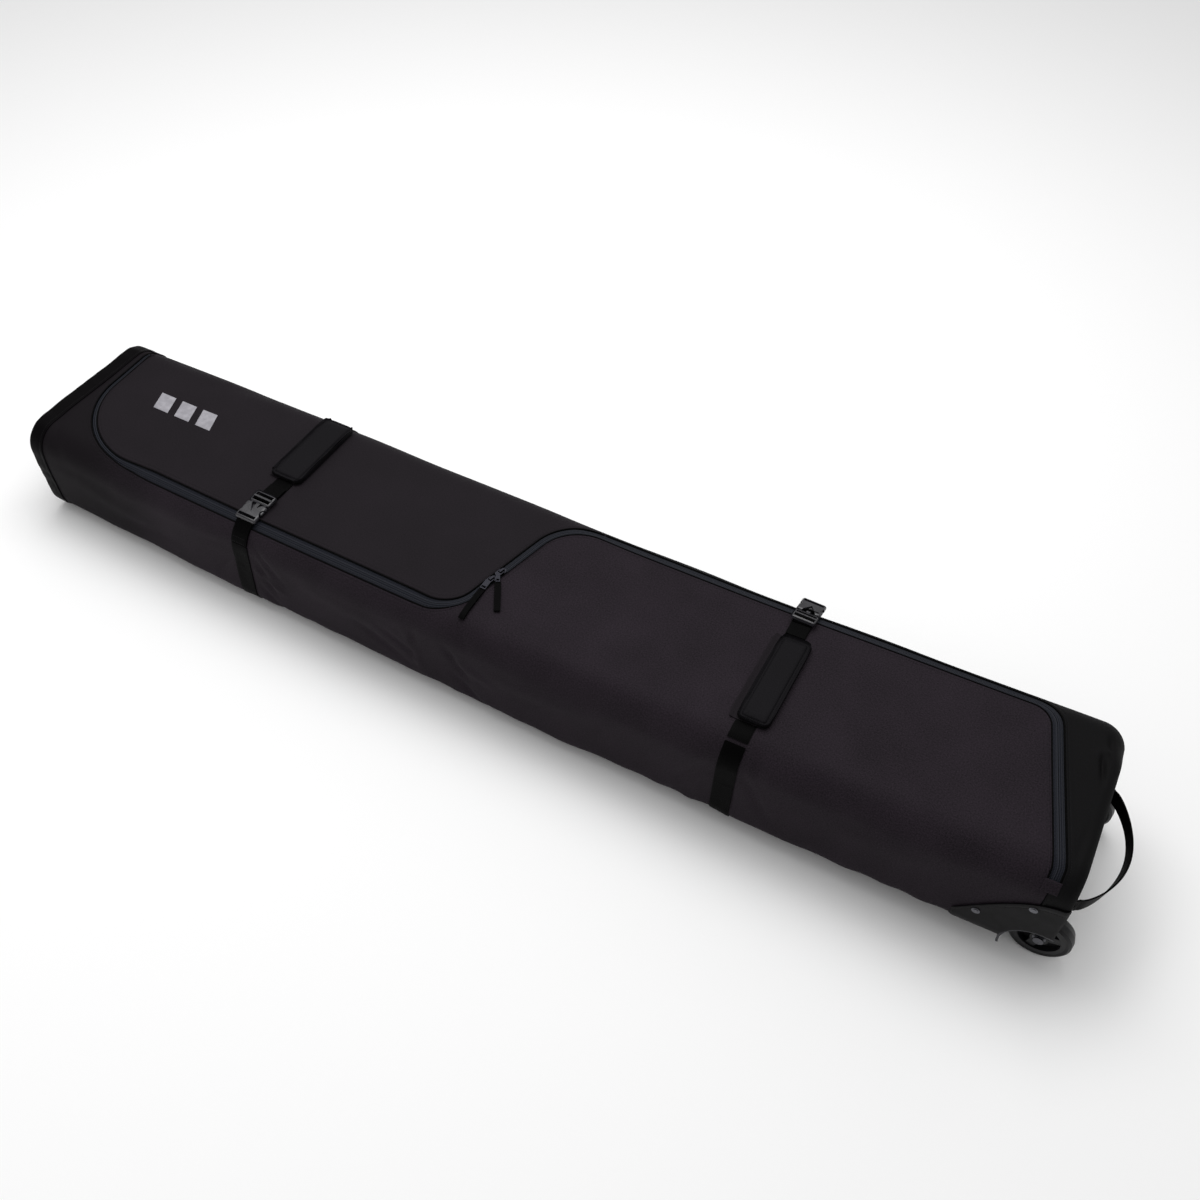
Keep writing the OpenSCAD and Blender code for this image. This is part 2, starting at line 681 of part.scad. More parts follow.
module wheel_tyre(far) {
    r = wheel_r - 5;
    color(tyre_black) on_axle(far) rotate_extrude($fn = 96)
        polygon([[rim_out, -wheel_w / 2 + 1], [r, -wheel_w / 2], [wheel_r - 1.5, -wheel_w / 2 + 3],
            [wheel_r, 0], [wheel_r - 1.5, wheel_w / 2 - 3], [r, wheel_w / 2], [rim_out, wheel_w / 2 - 1]]);
}

module wheel_bearings(far) {
    color(steel) on_axle(far) for (s = [-1, 1]) translate([0, 0, s * (wheel_w / 2 - 4) - 3.5]) difference() {
        cylinder(r = bearing_r, h = 7, $fn = 48);
        translate([0, 0, -1]) cylinder(r = axle_r + axle_play, h = 9, $fn = 48);
    }
}

module wheel_near_hub() { wheel_hub(false); }
module wheel_near_tyre() { wheel_tyre(false); }
module wheel_near_bearings() { wheel_bearings(false); }
module wheel_far_hub() { wheel_hub(true); }
module wheel_far_tyre() { wheel_tyre(true); }
module wheel_far_bearings() { wheel_bearings(true); }

// ---- End handle: a webbing loop across the end ----
handle_z = 132;
handle_w = 25;
handle_y0 = -110;
handle_y1 = 70;
handle_root = 8; // where the loop starts, outside the end panel
function handle_reach(t) = handle_root + (handle_out - handle_root) * pow(sin(180 * t), 0.7);
function handle_row(t, out) = [for (s = [-1, 1])
    [x_end + handle_reach(t) - out, handle_y0 + (handle_y1 - handle_y0) * t, handle_z + s * handle_w / 2]];

module end_handle() {
    color(webbing_black) translate([mid_x, 0, 0])
        sheet([for (k = [0:20]) handle_row(k / 20, 0)], [for (k = [0:20]) handle_row(k / 20, 2)]);
}

// Sewn ends of the loop, flat on the end panel
module end_handle_tabs() {
    color(webbing_black) translate([mid_x, 0, 0]) for (y = [handle_y0 - 16, handle_y1 + 1])
        translate([x_end, y, handle_z - handle_w / 2]) cube([webbing_t * 2, 15, handle_w]);
}

base_shell();
base_foam();
base_stiffener();
near_wall();
near_wall_foam();
far_wall();
far_wall_foam();
nose_panel();
nose_binding();
nose_top_strip();
wheel_end_panel();
wheel_end_top_strip();
zip_tape_near();
zip_tape_far();
zip_end_tabs();
left_strap_near();
left_strap_far();
right_strap_near();
right_strap_far();
corner_guard_near();
corner_guard_far();
wheel_arch_near();
wheel_arch_far();
guard_rivets();
axle_near();
axle_far();
left_lid();
left_lid_foam();
left_lid_zip_tape();
left_lid_emblem();
left_strap_top();
right_lid();
right_lid_foam();
right_lid_zip_tape();
right_strap_top();
left_carry_pad();
right_carry_pad();
left_buckle_plug();
right_buckle_plug();
left_buckle_socket();
right_buckle_socket();
left_socket_loop();
right_socket_loop();
left_slider();
right_slider();
left_pull_link();
right_pull_link();
left_pull_tab();
right_pull_tab();
end_handle();
end_handle_tabs();
wheel_near_hub();
wheel_near_tyre();
wheel_near_bearings();
wheel_far_hub();
wheel_far_tyre();
wheel_far_bearings();
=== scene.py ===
import bpy
import math
import numpy as np
from mathutils import Matrix, Vector


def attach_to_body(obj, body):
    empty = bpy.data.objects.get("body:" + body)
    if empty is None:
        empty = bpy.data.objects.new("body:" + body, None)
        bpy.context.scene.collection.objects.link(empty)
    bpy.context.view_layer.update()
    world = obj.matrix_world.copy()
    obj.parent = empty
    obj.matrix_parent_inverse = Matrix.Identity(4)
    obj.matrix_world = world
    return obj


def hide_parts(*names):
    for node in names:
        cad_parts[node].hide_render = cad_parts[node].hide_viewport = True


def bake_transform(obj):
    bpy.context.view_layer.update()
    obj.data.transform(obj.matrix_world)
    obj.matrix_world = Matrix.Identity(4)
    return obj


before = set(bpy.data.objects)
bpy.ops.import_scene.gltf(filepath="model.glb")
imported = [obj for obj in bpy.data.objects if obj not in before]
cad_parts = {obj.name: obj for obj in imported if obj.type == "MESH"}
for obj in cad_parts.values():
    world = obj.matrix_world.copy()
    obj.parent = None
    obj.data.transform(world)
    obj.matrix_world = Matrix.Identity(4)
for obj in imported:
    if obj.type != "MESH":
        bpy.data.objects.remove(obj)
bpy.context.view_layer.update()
mm = 0.001

# The fabric body, in mm from its middle: x along it, y across it, z up
bag = {
    "halfLength": 865.0,
    "halfWidth": 152.5,
    "noseTaper": 9.9,
    "wheelTaper": 5.6,
    "height": 174.7,
    "rise": 8.4,          # how much taller the wheel end is
    "sag": 6.6,           # how far the top sinks in the middle
    "wheelLift": 29.2,    # how high the wheels hold the base
    "liftStart": 100.0,   # the base leaves the ground here
    "baseUp": 1.8,
    "topRadius": 45.0,
    "bottomRadius": 35.0,
    "shift": -25.0,       # puts the bag with its end handle over the origin
    "endRound": 18.0,     # radius of the soft edge at the wheel end
    "noseLean": 13.0,     # how far the nose's lower edge is set back
    "leanFrom": 690.0,
}
strapX = {"left": -427.0, "right": 402.0}
noseX = -bag["halfLength"]
wheelEndX = bag["halfLength"]


# ---- Shape of the body ----
def halfWidth(x):
    s = x / bag["halfLength"]
    narrower = bag["noseTaper"] * np.maximum(0, -s) ** 3
    return bag["halfWidth"] - narrower - bag["wheelTaper"] * np.maximum(0, s) ** 3


def floorZ(x):
    t = np.maximum(0, (x - bag["liftStart"]) / (bag["halfLength"] - bag["liftStart"]))
    return bag["baseUp"] + bag["wheelLift"] * t ** 1.5


def flatTop(x):
    s = x / bag["halfLength"]
    return floorZ(x) + bag["height"] + bag["rise"] * s - bag["sag"] * (1 - s * s)


def topFlat(x):
    return halfWidth(x) - bag["topRadius"]


def sideHeight(x):
    return flatTop(x) - bag["topRadius"] - floorZ(x) - bag["bottomRadius"]


def seamW(x):  # how far the bottom seam is from the top's centre line, along the fabric
    return topFlat(x) + (bag["topRadius"] + bag["bottomRadius"]) * math.pi / 2 + sideHeight(x)


def clothW(x, v):  # from a distance across the plan, at the bag's middle, to one along the fabric
    y = np.abs(v) * halfWidth(x) / bag["halfWidth"]
    over = np.clip((y - topFlat(x)) / bag["topRadius"], 0, 0.9999)
    return np.sign(v) * np.where(over > 0, topFlat(x) + bag["topRadius"] * np.arcsin(over), y)


def smooth(value, low, high):
    t = np.clip((value - low) / (high - low), 0, 1)
    return t * t * (3 - 2 * t)


# Soft folds in the cloth, in mm: x and w at each end, half width, and depth, a ridge if positive
foldDepth = 1.45
folds = [
    (-852, 60, -838, -60, 9, -1.2),
    (-846, -70, -800, -150, 13, -1.6),
    (-850, -165, -700, -172, 16, -1.8),
    (-760, -200, -640, -214, 14, 1.3),
    (-700, -240, -560, -225, 12, -1.2),
    (-405, -150, -352, -212, 7, -2.2),
    (-402, -172, -366, -262, 7, -2.4),
    (-404, -205, -350, -236, 6, 1.6),
    (-398, -240, -356, -296, 7, -2.2),
    (-448, -200, -486, -254, 8, -1.6),
    (-447, -165, -500, -190, 9, -1.3),
    (-300, -190, -150, -205, 15, 1.5),
    (-210, -215, -120, -262, 9, -2.0),
    (-170, -200, -104, -236, 7, -1.8),
    (-120, -185, -92, -268, 7, 2.2),
    (-104, -176, -112, -240, 6, -2.6),
    (-52, -180, -10, -244, 8, -2.6),
    (-46, -205, 30, -222, 9, 1.8),
    (-40, -236, 22, -290, 8, -2.2),
    (-44, -128, -12, -166, 8, -1.4),
    (60, -150, 240, -158, 20, -2.4),
    (230, -156, 372, -150, 18, -2.0),
    (30, -205, 190, -190, 16, 1.8),
    (110, 60, 150, -70, 20, -1.5),
    (150, 70, 214, -40, 18, 1.3),
    (205, 60, 262, -70, 20, -1.5),
    (262, 40, 305, -96, 17, 1.1),
    (430, -100, 452, -196, 9, -2.0),
    (424, -170, 470, -250, 9, -1.8),
    (432, -128, 560, -152, 20, -1.7),
    (382, -165, 338, -240, 9, -2.0),
    (378, -210, 352, -292, 8, 1.6),
    (500, -150, 720, -152, 22, -1.6),
    (560, -205, 700, -190, 20, 1.4),
    (560, 50, 640, -80, 26, 1.2),
    (470, 60, 540, -40, 24, -1.1),
    (-640, 70, -560, 20, 26, 1.1),
    (-560, 60, -500, -60, 24, -1.0),
    (-300, 60, -220, -40, 30, 0.9),
    (-700, 100, -580, 128, 16, -1.6),
    (835, 70, 846, 24, 4, -3.4),
    (846, 74, 838, 100, 4, -2.6),
    (828, 66, 846, 78, 5, 1.8),
    (850, -40, 842, -110, 7, -1.1),
    (430, 160, 560, 196, 14, -1.8),
    (380, 170, 300, 240, 9, -1.9),
    (-400, 160, -330, 230, 9, -2.0),
    (-450, 170, -520, 240, 9, -1.7),
    (-60, 170, 10, 250, 10, -1.9),
    (60, 190, 120, 255, 9, -1.9),
    (150, 160, 320, 172, 18, 1.5),
    (-760, 190, -620, 215, 16, -1.5),
    (640, 200, 760, 225, 16, -1.5),
]


def relief(x, w):  # how far the cloth stands off the plain shape
    side = smooth(np.abs(w), 112, 190)
    wave = np.sin(x / 83 + 1.1) * np.sin(w / 61 + 0.4) + 0.6 * np.sin(x / 47 + w / 90 + 2.0)
    wave += 0.35 * np.sin(x / 23 - w / 41 + 0.7) * side
    # the lower edge is gathered where it is sewn to the base
    wave += 0.9 * np.sin(x / 11 + 1.7 * np.sin(x / 53)) * smooth(np.abs(w), 268, 305)
    out = wave * (0.45 + 0.75 * side)
    for x0, w0, x1, w1, wide, deep in folds:
        dx, dw = x1 - x0, w1 - w0
        t = np.clip(((x - x0) * dx + (w - w0) * dw) / (dx * dx + dw * dw), 0, 1)
        far = (x - x0 - t * dx) ** 2 + (w - w0 - t * dw) ** 2
        out += foldDepth * deep * np.exp(-far / wide ** 2) * (0.35 + 0.65 * np.sin(math.pi * t))
    for place in strapX.values():
        out -= 2.2 * np.exp(-((x - place) / 26) ** 2) * smooth(np.abs(w), 120, 185)
    calm = smooth(x, noseX + 2, noseX + 40) * (1 - smooth(x, wheelEndX - 26, wheelEndX - 4))
    guarded = smooth(x, 705, 745) * smooth(np.abs(w), 190, 215)
    return out * (0.25 + 0.75 * calm) * (1 - guarded)


def endInset(x, w):  # the soft edge at the wheel end, tighter towards the floor
    plain = np.interp(np.abs(w), [0, 150, 200, 330], [bag["endRound"], bag["endRound"], 5, 2.5])
    r = plain + 20 * smooth(w, 55, 110) * (1 - smooth(w, 170, 240))
    over = np.clip(x - (wheelEndX - r), 0, r * 0.9999)
    return r - np.sqrt(r * r - over * over)


def skin(x, w, lift=0.0):
    # a point of the cloth in the frame, in metres: w is the distance along the fabric from the centre line
    x, w = np.broadcast_arrays(np.asarray(x, float), np.asarray(w, float))
    a = np.abs(w)
    topR, bottomR = bag["topRadius"], bag["bottomRadius"]
    half, top = halfWidth(x), flatTop(x)
    t = a - topFlat(x)
    angle = np.clip(t / topR, 0, math.pi / 2)
    down = np.clip(t - topR * math.pi / 2, 0, sideHeight(x))
    under = np.clip((t - topR * math.pi / 2 - sideHeight(x)) / bottomR, 0, math.pi / 2)
    level = np.maximum(0, a - seamW(x))
    y = np.minimum(a, topFlat(x)) + topR * np.sin(angle) - bottomR * (1 - np.cos(under)) - level
    z = top - topR * (1 - np.cos(angle)) - down - bottomR * np.sin(under)
    ny = np.sin(angle) * np.cos(under)
    nz = np.cos(angle) * np.cos(under) - np.sin(under)
    off = lift + relief(x, w) - endInset(x, w)
    side = np.where(w < 0, -1.0, 1.0)
    drop = np.clip((top - z) / bag["height"], 0, 1)
    z = z + nz * off
    # nothing goes through the ground: the last millimetre is squeezed
    z = np.where(z < 1.0, 0.4 + 0.6 * np.exp(np.minimum(z - 1.0, 0)), z)
    x = x + bag["noseLean"] * drop ** 1.5 * smooth(-x, bag["leanFrom"], bag["halfLength"])
    return np.stack([x + bag["shift"], side * (y + ny * off), z], axis=-1) * mm


# ---- Materials ----
def linear(code):
    parts = [int(code[i:i + 2], 16) / 255 for i in (1, 3, 5)]
    return [c / 12.92 if c <= 0.04045 else ((c + 0.055) / 1.055) ** 2.4 for c in parts] + [1.0]


def addNode(tree, kind, links=None, **settings):
    node = tree.nodes.new(kind)
    for key, value in settings.items():
        setattr(node, key, value)
    for key, value in (links or {}).items():
        if isinstance(value, bpy.types.NodeSocket):
            tree.links.new(value, node.inputs[key])
        else:
            node.inputs[key].default_value = value
    return node


def startMaterial(name, **sockets):
    material = bpy.data.materials.new(name)
    material.use_nodes = True
    tree = material.node_tree
    shader = tree.nodes["Principled BSDF"]
    for key, value in sockets.items():
        shader.inputs[key].default_value = value
    return material, tree, shader


def paint(tree, shader, factor, low, high):
    mix = addNode(tree, "ShaderNodeMix", {"Factor": factor}, data_type="RGBA")
    mix.inputs[6].default_value = linear(low)
    mix.inputs[7].default_value = linear(high)
    tree.links.new(mix.outputs[2], shader.inputs["Base Color"])


def emboss(tree, shader, height, strength, depthMm):
    bump = addNode(tree, "ShaderNodeBump",
                   {"Strength": strength, "Distance": depthMm * mm, "Height": height})
    tree.links.new(bump.outputs["Normal"], shader.inputs["Normal"])


def band(tree, coordinate, direction, pitchMm):
    # a wave's bands repeat every 2 pi / 20 of a unit at scale 1
    scale = 2 * math.pi / 20 / (pitchMm * mm)
    wave = addNode(tree, "ShaderNodeTexWave", {"Vector": coordinate, "Scale": scale},
                   wave_type="BANDS", bands_direction=direction, wave_profile="SIN")
    return wave.outputs["Fac"]


def grain(tree, coordinate, sizeMm, detail=3.0):
    noise = addNode(tree, "ShaderNodeTexNoise", {"Vector": coordinate, "Scale": 1 / (sizeMm * mm),
                                                 "Detail": detail, "Roughness": 0.62})
    return noise.outputs["Fac"]


def calculate(tree, operation, *values):
    return addNode(tree, "ShaderNodeMath", dict(enumerate(values)), operation=operation).outputs[0]


def remap(tree, value, fromMin, fromMax, toMin=0.0, toMax=1.0):
    return addNode(tree, "ShaderNodeMapRange", {"Value": value, "From Min": fromMin, "From Max": fromMax,
                                                "To Min": toMin, "To Max": toMax}).outputs[0]


def wovenPolyester(name, low, high, paintedShadeFrom=None):
    # Plain-weave 600-denier polyester, dyed in the yarn: matt, with a fine salt-and-pepper grain.
    # Its threads are 0.5 mm apart, which is too fine to show, so the weave is drawn at 1.8 mm.
    material, tree, shader = startMaterial(name, **{"Roughness": 0.72, "IOR": 1.45,
                                                    "Specular IOR Level": 0.11})
    uv = addNode(tree, "ShaderNodeTexCoord").outputs["UV"]
    weave = calculate(tree, "MULTIPLY", band(tree, uv, "X", 1.8), band(tree, uv, "Y", 1.8))
    speck = grain(tree, uv, 2.2)
    cloud = grain(tree, uv, 120, 2.0)
    factor = remap(tree, calculate(tree, "MULTIPLY_ADD", cloud, 0.3, speck), 0.4, 0.9)
    if paintedShadeFrom is not None:
        # painted shade: the colour darkens towards the nose over the next 190 mm, where the light falls off
        along = addNode(tree, "ShaderNodeSeparateXYZ", {"Vector": uv}).outputs["X"]
        paintedShade = remap(tree, along, paintedShadeFrom * mm, (paintedShadeFrom - 190) * mm, 0.0, -0.75)
        factor = calculate(tree, "ADD", factor, paintedShade)
    paint(tree, shader, factor, low, high)
    emboss(tree, shader, calculate(tree, "ADD", weave, speck), 0.35, 0.35)
    return material


def wovenWebbing(name, low, high, pitchMm=1.6):
    # Woven nylon or polyester tape: ribs across its length, tighter than the cloth's weave.
    # The real ribs are about 1 mm apart, and are drawn at 1.6 mm or more so that they show.
    material, tree, shader = startMaterial(name, **{"Roughness": 0.46, "IOR": 1.45,
                                                    "Specular IOR Level": 0.03})
    uv = addNode(tree, "ShaderNodeTexCoord").outputs["UV"]
    ribs = band(tree, uv, "Y", pitchMm)
    paint(tree, shader, calculate(tree, "MULTIPLY", ribs, grain(tree, uv, 1.6)), low, high)
    emboss(tree, shader, ribs, 0.4, 0.3)
    return material


def knittedZipTape(name, low, high):
    # Knitted polyester zip tape with a moulded coil behind it: ribs along it, and fine steps across it
    material, tree, shader = startMaterial(name, **{"Roughness": 0.5, "IOR": 1.45,
                                                    "Specular IOR Level": 0.12})
    uv = addNode(tree, "ShaderNodeTexCoord").outputs["UV"]
    knit = calculate(tree, "MULTIPLY", band(tree, uv, "X", 2.0), band(tree, uv, "Y", 2.3))
    paint(tree, shader, knit, low, high)
    emboss(tree, shader, knit, 0.55, 0.4)
    return material


def mouldedPlastic(name, low, high, roughness, grainMm=0.8, gloss=0.2):
    # Moulded plastic with a spark-eroded finish: even colour, soft highlights, rubbed lighter in places
    material, tree, shader = startMaterial(name, **{"Roughness": roughness, "IOR": 1.46,
                                                    "Specular IOR Level": gloss})
    place = addNode(tree, "ShaderNodeTexCoord").outputs["Object"]
    paint(tree, shader, remap(tree, grain(tree, place, 14, 4.0), 0.4, 0.75), low, high)
    emboss(tree, shader, grain(tree, place, grainMm, 2.0), 0.25, 0.08)
    return material


def metalFinish(name, colour, roughness, scratchMm):
    # Plated or enamelled metal, tumbled before coating: small scratches that spread the highlight
    material, tree, shader = startMaterial(name, **{"Metallic": 1.0, "Base Color": linear(colour)})
    place = addNode(tree, "ShaderNodeTexCoord").outputs["Object"]
    marks = grain(tree, place, scratchMm, 5.0)
    spread = remap(tree, marks, 0.3, 0.7, roughness - 0.08, roughness + 0.1)
    tree.links.new(spread, shader.inputs["Roughness"])
    emboss(tree, shader, marks, 0.12, 0.05)
    return material


# the last argument paints shade on this cloth, darker towards the nose from x = -590 mm
warmCloth = wovenPolyester("wovenPolyesterWarm", "#0f0b0f", "#2a232a", -590)
plainCloth = wovenPolyester("wovenPolyesterPlain", "#120f12", "#1f1a1f")
endCloth = wovenPolyester("wovenPolyesterBlack", "#040404", "#0a090b")
padCloth = wovenPolyester("wovenPolyesterPad", "#09080a", "#121014")
coatedCloth = wovenPolyester("coatedBallisticNylon", "#141315", "#1f1e20")
liningCloth = wovenPolyester("wovenNylonLining", "#2b2b2d", "#3a3a3d")
webbing = wovenWebbing("wovenNylonWebbing", "#010101", "#050405")
grosgrain = wovenWebbing("wovenGrosgrainBinding", "#050405", "#0d0b0d", 2.0)
zipTape = knittedZipTape("knittedZipTape", "#12141a", "#2d2f38")
piping = wovenWebbing("wovenPipingTape", "#040404", "#0b0a0b", 2.0)
threads = mouldedPlastic("spunPolyesterThread", "#121114", "#1c1b1e", 0.6)
buckleAcetal = mouldedPlastic("mouldedAcetal", "#1d1c20", "#2f2e33", 0.3, 0.8, 0.6)
archPlastic = mouldedPlastic("mouldedPolypropyleneGrey", "#242428", "#3a3a3f", 0.4, 0.8, 0.4)
hubNylon = mouldedPlastic("mouldedNylonBlack", "#0b0b0d", "#17171a", 0.38, 0.8, 0.35)
guardSheet = mouldedPlastic("mouldedGuardSheet", "#0a090a", "#141315", 0.5, 1.6, 0.12)
floorSheet = mouldedPlastic("extrudedPolyethyleneSheet", "#101011", "#1a1a1b", 0.5)
tyreRubber = mouldedPlastic("mouldedPolyurethaneTyre", "#08080a", "#151518", 0.45, 0.8, 0.3)
silverPrint = mouldedPlastic("mouldedSilverRubber", "#8f8d93", "#aaa8ae", 0.42)
zincEnamel = metalFinish("castZincGunmetal", "#2b2b30", 0.34, 2.0)
platedSteel = metalFinish("zincPlatedSteel", "#66666b", 0.3, 1.5)
print("materials made")


# ---- Sheets of cloth laid on the body ----
foldLines = {  # lids whose cloth is left in place, not parented to them; each lid's bend start and end, in metres, is listed but not read
    "left_lid": ((0, 0.134, 0.158), (0, 0.106, 0.171)),
    "right_lid": ((0, -0.134, 0.170), (0, -0.106, 0.183)),
}


def attach(piece, body, material, replaced=()):
    piece.data.materials.clear()
    piece.data.materials.append(material)
    if body in foldLines:
        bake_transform(piece)
    else:
        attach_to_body(piece, body)
    if replaced:
        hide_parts(*replaced)
    return piece


def pick(piece):
    bpy.ops.object.select_all(action="DESELECT")
    bpy.context.view_layer.objects.active = piece
    piece.select_set(True)


def applyModifier(piece, kind, **settings):
    pick(piece)
    modifier = piece.modifiers.new(kind.lower(), kind)
    for key, value in settings.items():
        setattr(modifier, key, value)
    bpy.ops.object.modifier_apply(modifier=modifier.name)


def smoothShade(piece, degrees=40):
    pick(piece)
    bpy.ops.object.shade_smooth_by_angle(angle=math.radians(degrees))


def addMesh(name, points, faces):
    # a closed mesh from its points, with its faces turned outwards
    mesh = bpy.data.meshes.new(name)
    mesh.from_pydata(points, [], faces)
    piece = bpy.data.objects.new(name, mesh)
    bpy.context.collection.objects.link(piece)
    pick(piece)
    bpy.ops.object.mode_set(mode="EDIT")
    bpy.ops.mesh.select_all(action="SELECT")
    bpy.ops.mesh.normals_make_consistent(inside=False)
    bpy.ops.object.mode_set(mode="OBJECT")
    return piece


def readPoints(mesh):
    flat = np.empty(len(mesh.vertices) * 3)
    mesh.vertices.foreach_get("co", flat)
    return flat.reshape(-1, 3)


def mapCloth(mesh, a, b):
    # the flat cloth's own place of each point, in metres, as the piece's UV map
    layer = mesh.uv_layers.active or mesh.uv_layers.new(name="cloth")
    corners = np.empty(len(mesh.loops), int)
    mesh.loops.foreach_get("vertex_index", corners)
    layer.data.foreach_set("uv", (np.stack([a, b], axis=-1)[corners] * mm).ravel())


def gridPiece(name, rows, cols, place, thick, mapped):
    # a grid whose points go to place(u, v), with its upper side out and its thickness below
    bpy.ops.object.select_all(action="DESELECT")
    bpy.ops.mesh.primitive_grid_add(x_subdivisions=rows, y_subdivisions=cols, size=2)
    piece = bpy.context.active_object
    piece.name = name
    mesh = piece.data
    mesh.name = name
    flat = readPoints(mesh)
    u, v = (flat[:, 0] + 1) / 2, (flat[:, 1] + 1) / 2
    points, above = place(u, v)
    mesh.vertices.foreach_set("co", points.ravel())
    mapCloth(mesh, *mapped(u, v))
    mesh.update()
    normals = np.empty(flat.size)
    mesh.vertex_normals.foreach_get("vector", normals)
    if np.sum(normals.reshape(-1, 3) * (above - points)) < 0:
        mesh.flip_normals()
    if thick:
        applyModifier(piece, "SOLIDIFY", thickness=thick * mm, offset=-1)
    smoothShade(piece)
    return piece


def layCloth(name, rows, cols, plan, lift=0.0, thick=2.0, mapped=None):
    def place(u, v):
        x, w = plan(u, v)
        up = lift(u, v) if callable(lift) else lift
        return skin(x, w, up), skin(x, w, up + 1)
    return gridPiece(name, rows, cols, place, thick, mapped or plan)


def layCord(name, points, radius, sides=1):
    line = bpy.data.curves.new(name, "CURVE")
    line.dimensions = "3D"
    line.bevel_depth = radius * mm
    line.bevel_resolution = sides
    line.use_fill_caps = True
    spline = line.splines.new("POLY")
    spline.points.add(len(points) - 1)
    spline.points.foreach_set("co", np.hstack([points, np.ones((len(points), 1))]).ravel())
    piece = bpy.data.objects.new(name, line)
    bpy.context.collection.objects.link(piece)
    pick(piece)
    bpy.ops.object.convert(target="MESH")
    smoothShade(piece, 60)
    return bpy.context.active_object


stitch = {"length": 2.3, "radius": 0.42}
seams = {}  # stitches of each body: centre, direction and outward direction


def sew(body, x, w, lift, pitch=3.4):
    points, above = skin(x, w, lift), skin(x, w, lift + 1)
    run = np.concatenate([[0], np.cumsum(np.linalg.norm(np.diff(points, axis=0), axis=1))])
    at = np.arange(pitch / 2, run[-1] / mm, pitch) * mm
    middle = np.stack([np.interp(at, run, points[:, k]) for k in range(3)], axis=-1)
    ahead = np.stack([np.interp(at + 0.5 * mm, run, points[:, k]) for k in range(3)], axis=-1) - middle
    out = np.stack([np.interp(at, run, (above - points)[:, k]) for k in range(3)], axis=-1)
    seams.setdefault(body, []).append((middle, ahead, out))


def sewAcross(body, x, half, w, lift, count):
    sew(body, np.linspace(x - half, x + half, count), np.full(count, w), lift)


def makeStitches(body):
    middle, ahead, out = (np.concatenate([row[k] for row in seams[body]]) for k in range(3))
    keep = np.linalg.norm(ahead, axis=1) > 1e-7
    middle, ahead, out = middle[keep], ahead[keep], out[keep]
    ahead = ahead / np.linalg.norm(ahead, axis=1, keepdims=True) * stitch["length"] / 2 * mm
    out = out / np.linalg.norm(out, axis=1, keepdims=True) * stitch["radius"] * mm
    across = np.cross(ahead, out)
    across = across / np.linalg.norm(across, axis=1, keepdims=True) * stitch["radius"] * mm
    ring = [middle - ahead - out * 0.6, middle + across, middle + out, middle - across, middle - out,
            middle + ahead - out * 0.6]
    points = np.stack(ring, axis=1).reshape(-1, 3)
    faces = [(0, 2, 1), (0, 3, 2), (0, 4, 3), (0, 1, 4), (5, 1, 2), (5, 2, 3), (5, 3, 4), (5, 4, 1)]
    piece = addMesh(f"stitches_{body}", points.tolist(),
                    [tuple(6 * k + i for i in f) for k in range(len(middle)) for f in faces])
    smoothShade(piece, 80)
    attach(piece, body, threads)


# ---- The zip's line: an S with round corners, as x and distance across at the middle ----
zipLine = {
    # x, distance across and radius of each corner
    "corners": [(-826, 121, 0), (-815, -121, 150), (-55, -121, 60), (5, 121, 80), (764, 121, 40),
                (828, -127, 0)],
    "tapeWide": 11.0,
    "past": 19.0,     # how far it runs on down the near side
}


def roundedLine(corners, step=2.0):
    points, marks = [np.array(corners[0][:2], float)], []
    for before, here, after in zip(corners, corners[1:], corners[2:]):
        p, q, s = (np.array(c[:2], float) for c in (before, here, after))
        a, b = (p - q) / np.linalg.norm(p - q), (s - q) / np.linalg.norm(s - q)
        half = math.acos(float(a @ b)) / 2
        centre = q + (a + b) / np.linalg.norm(a + b) * here[2] / math.sin(half)
        start = q + a * here[2] / math.tan(half) - centre
        turn = math.copysign(math.pi - 2 * half, float(start[0] * b[1] - start[1] * b[0]))
        angles = np.linspace(0, turn, 24)
        arc = [centre + np.array([start[0] * math.cos(g) - start[1] * math.sin(g),
                                  start[0] * math.sin(g) + start[1] * math.cos(g)]) for g in angles]
        marks.append((len(points), len(points) + len(arc) - 1))
        points += arc
    points.append(np.array(corners[-1][:2], float))
    points = np.array(points)
    run = np.concatenate([[0], np.cumsum(np.linalg.norm(np.diff(points, axis=0), axis=1))])
    at = np.arange(0, run[-1], step)
    line = np.stack([np.interp(at, run, points[:, k]) for k in range(2)], axis=-1)
    ahead = np.gradient(line, axis=0)
    ahead /= np.linalg.norm(ahead, axis=1, keepdims=True)
    return at, line, np.stack([-ahead[:, 1], ahead[:, 0]], axis=-1), [(run[i], run[j]) for i, j in marks]


zipRun, zipXY, zipLeft, zipArcs = roundedLine(zipLine["corners"])
crossStart, crossEnd, zipLong = zipArcs[1][0], zipArcs[2][1], zipRun[-1]
sideSeam = zipArcs[1][1] - 40  # where the near side's upright seam meets the zip
zipEnd = zipLong + zipLine["past"]


def besideZip(s, off):
    x, v = (np.interp(s, zipRun, zipXY[:, k]) for k in range(2))
    nx, nv = (np.interp(s, zipRun, zipLeft[:, k]) for k in range(2))
    size = np.hypot(nx, nv)
    x, v = x + off * nx / size, v + off * nv / size
    return x, clothW(x, v) - np.maximum(0, s - zipLong)  # past its corners it goes straight down the side


def hem(s):  # how far the cloth's edge is from the teeth: it laps more tape on the tight turns
    marks = [0, 300, 380, crossStart - 20, crossStart + 60, crossEnd - 60, crossEnd + 60, zipEnd,
             zipEnd + 8]
    return np.interp(s, marks, [4.5, 5.0, 9.6, 9.6, 7.2, 7.2, 8.6, 8.6, 0.6])


# ---- The four panels of cloth, each from an inner line to an outer line ----
clothThick = 2.2
edgeSteps = [0, 0.7, 1.6, 2.8, 4.2, 5.6, 7.5, 10, 14]  # columns near the hem, in mm from the edge


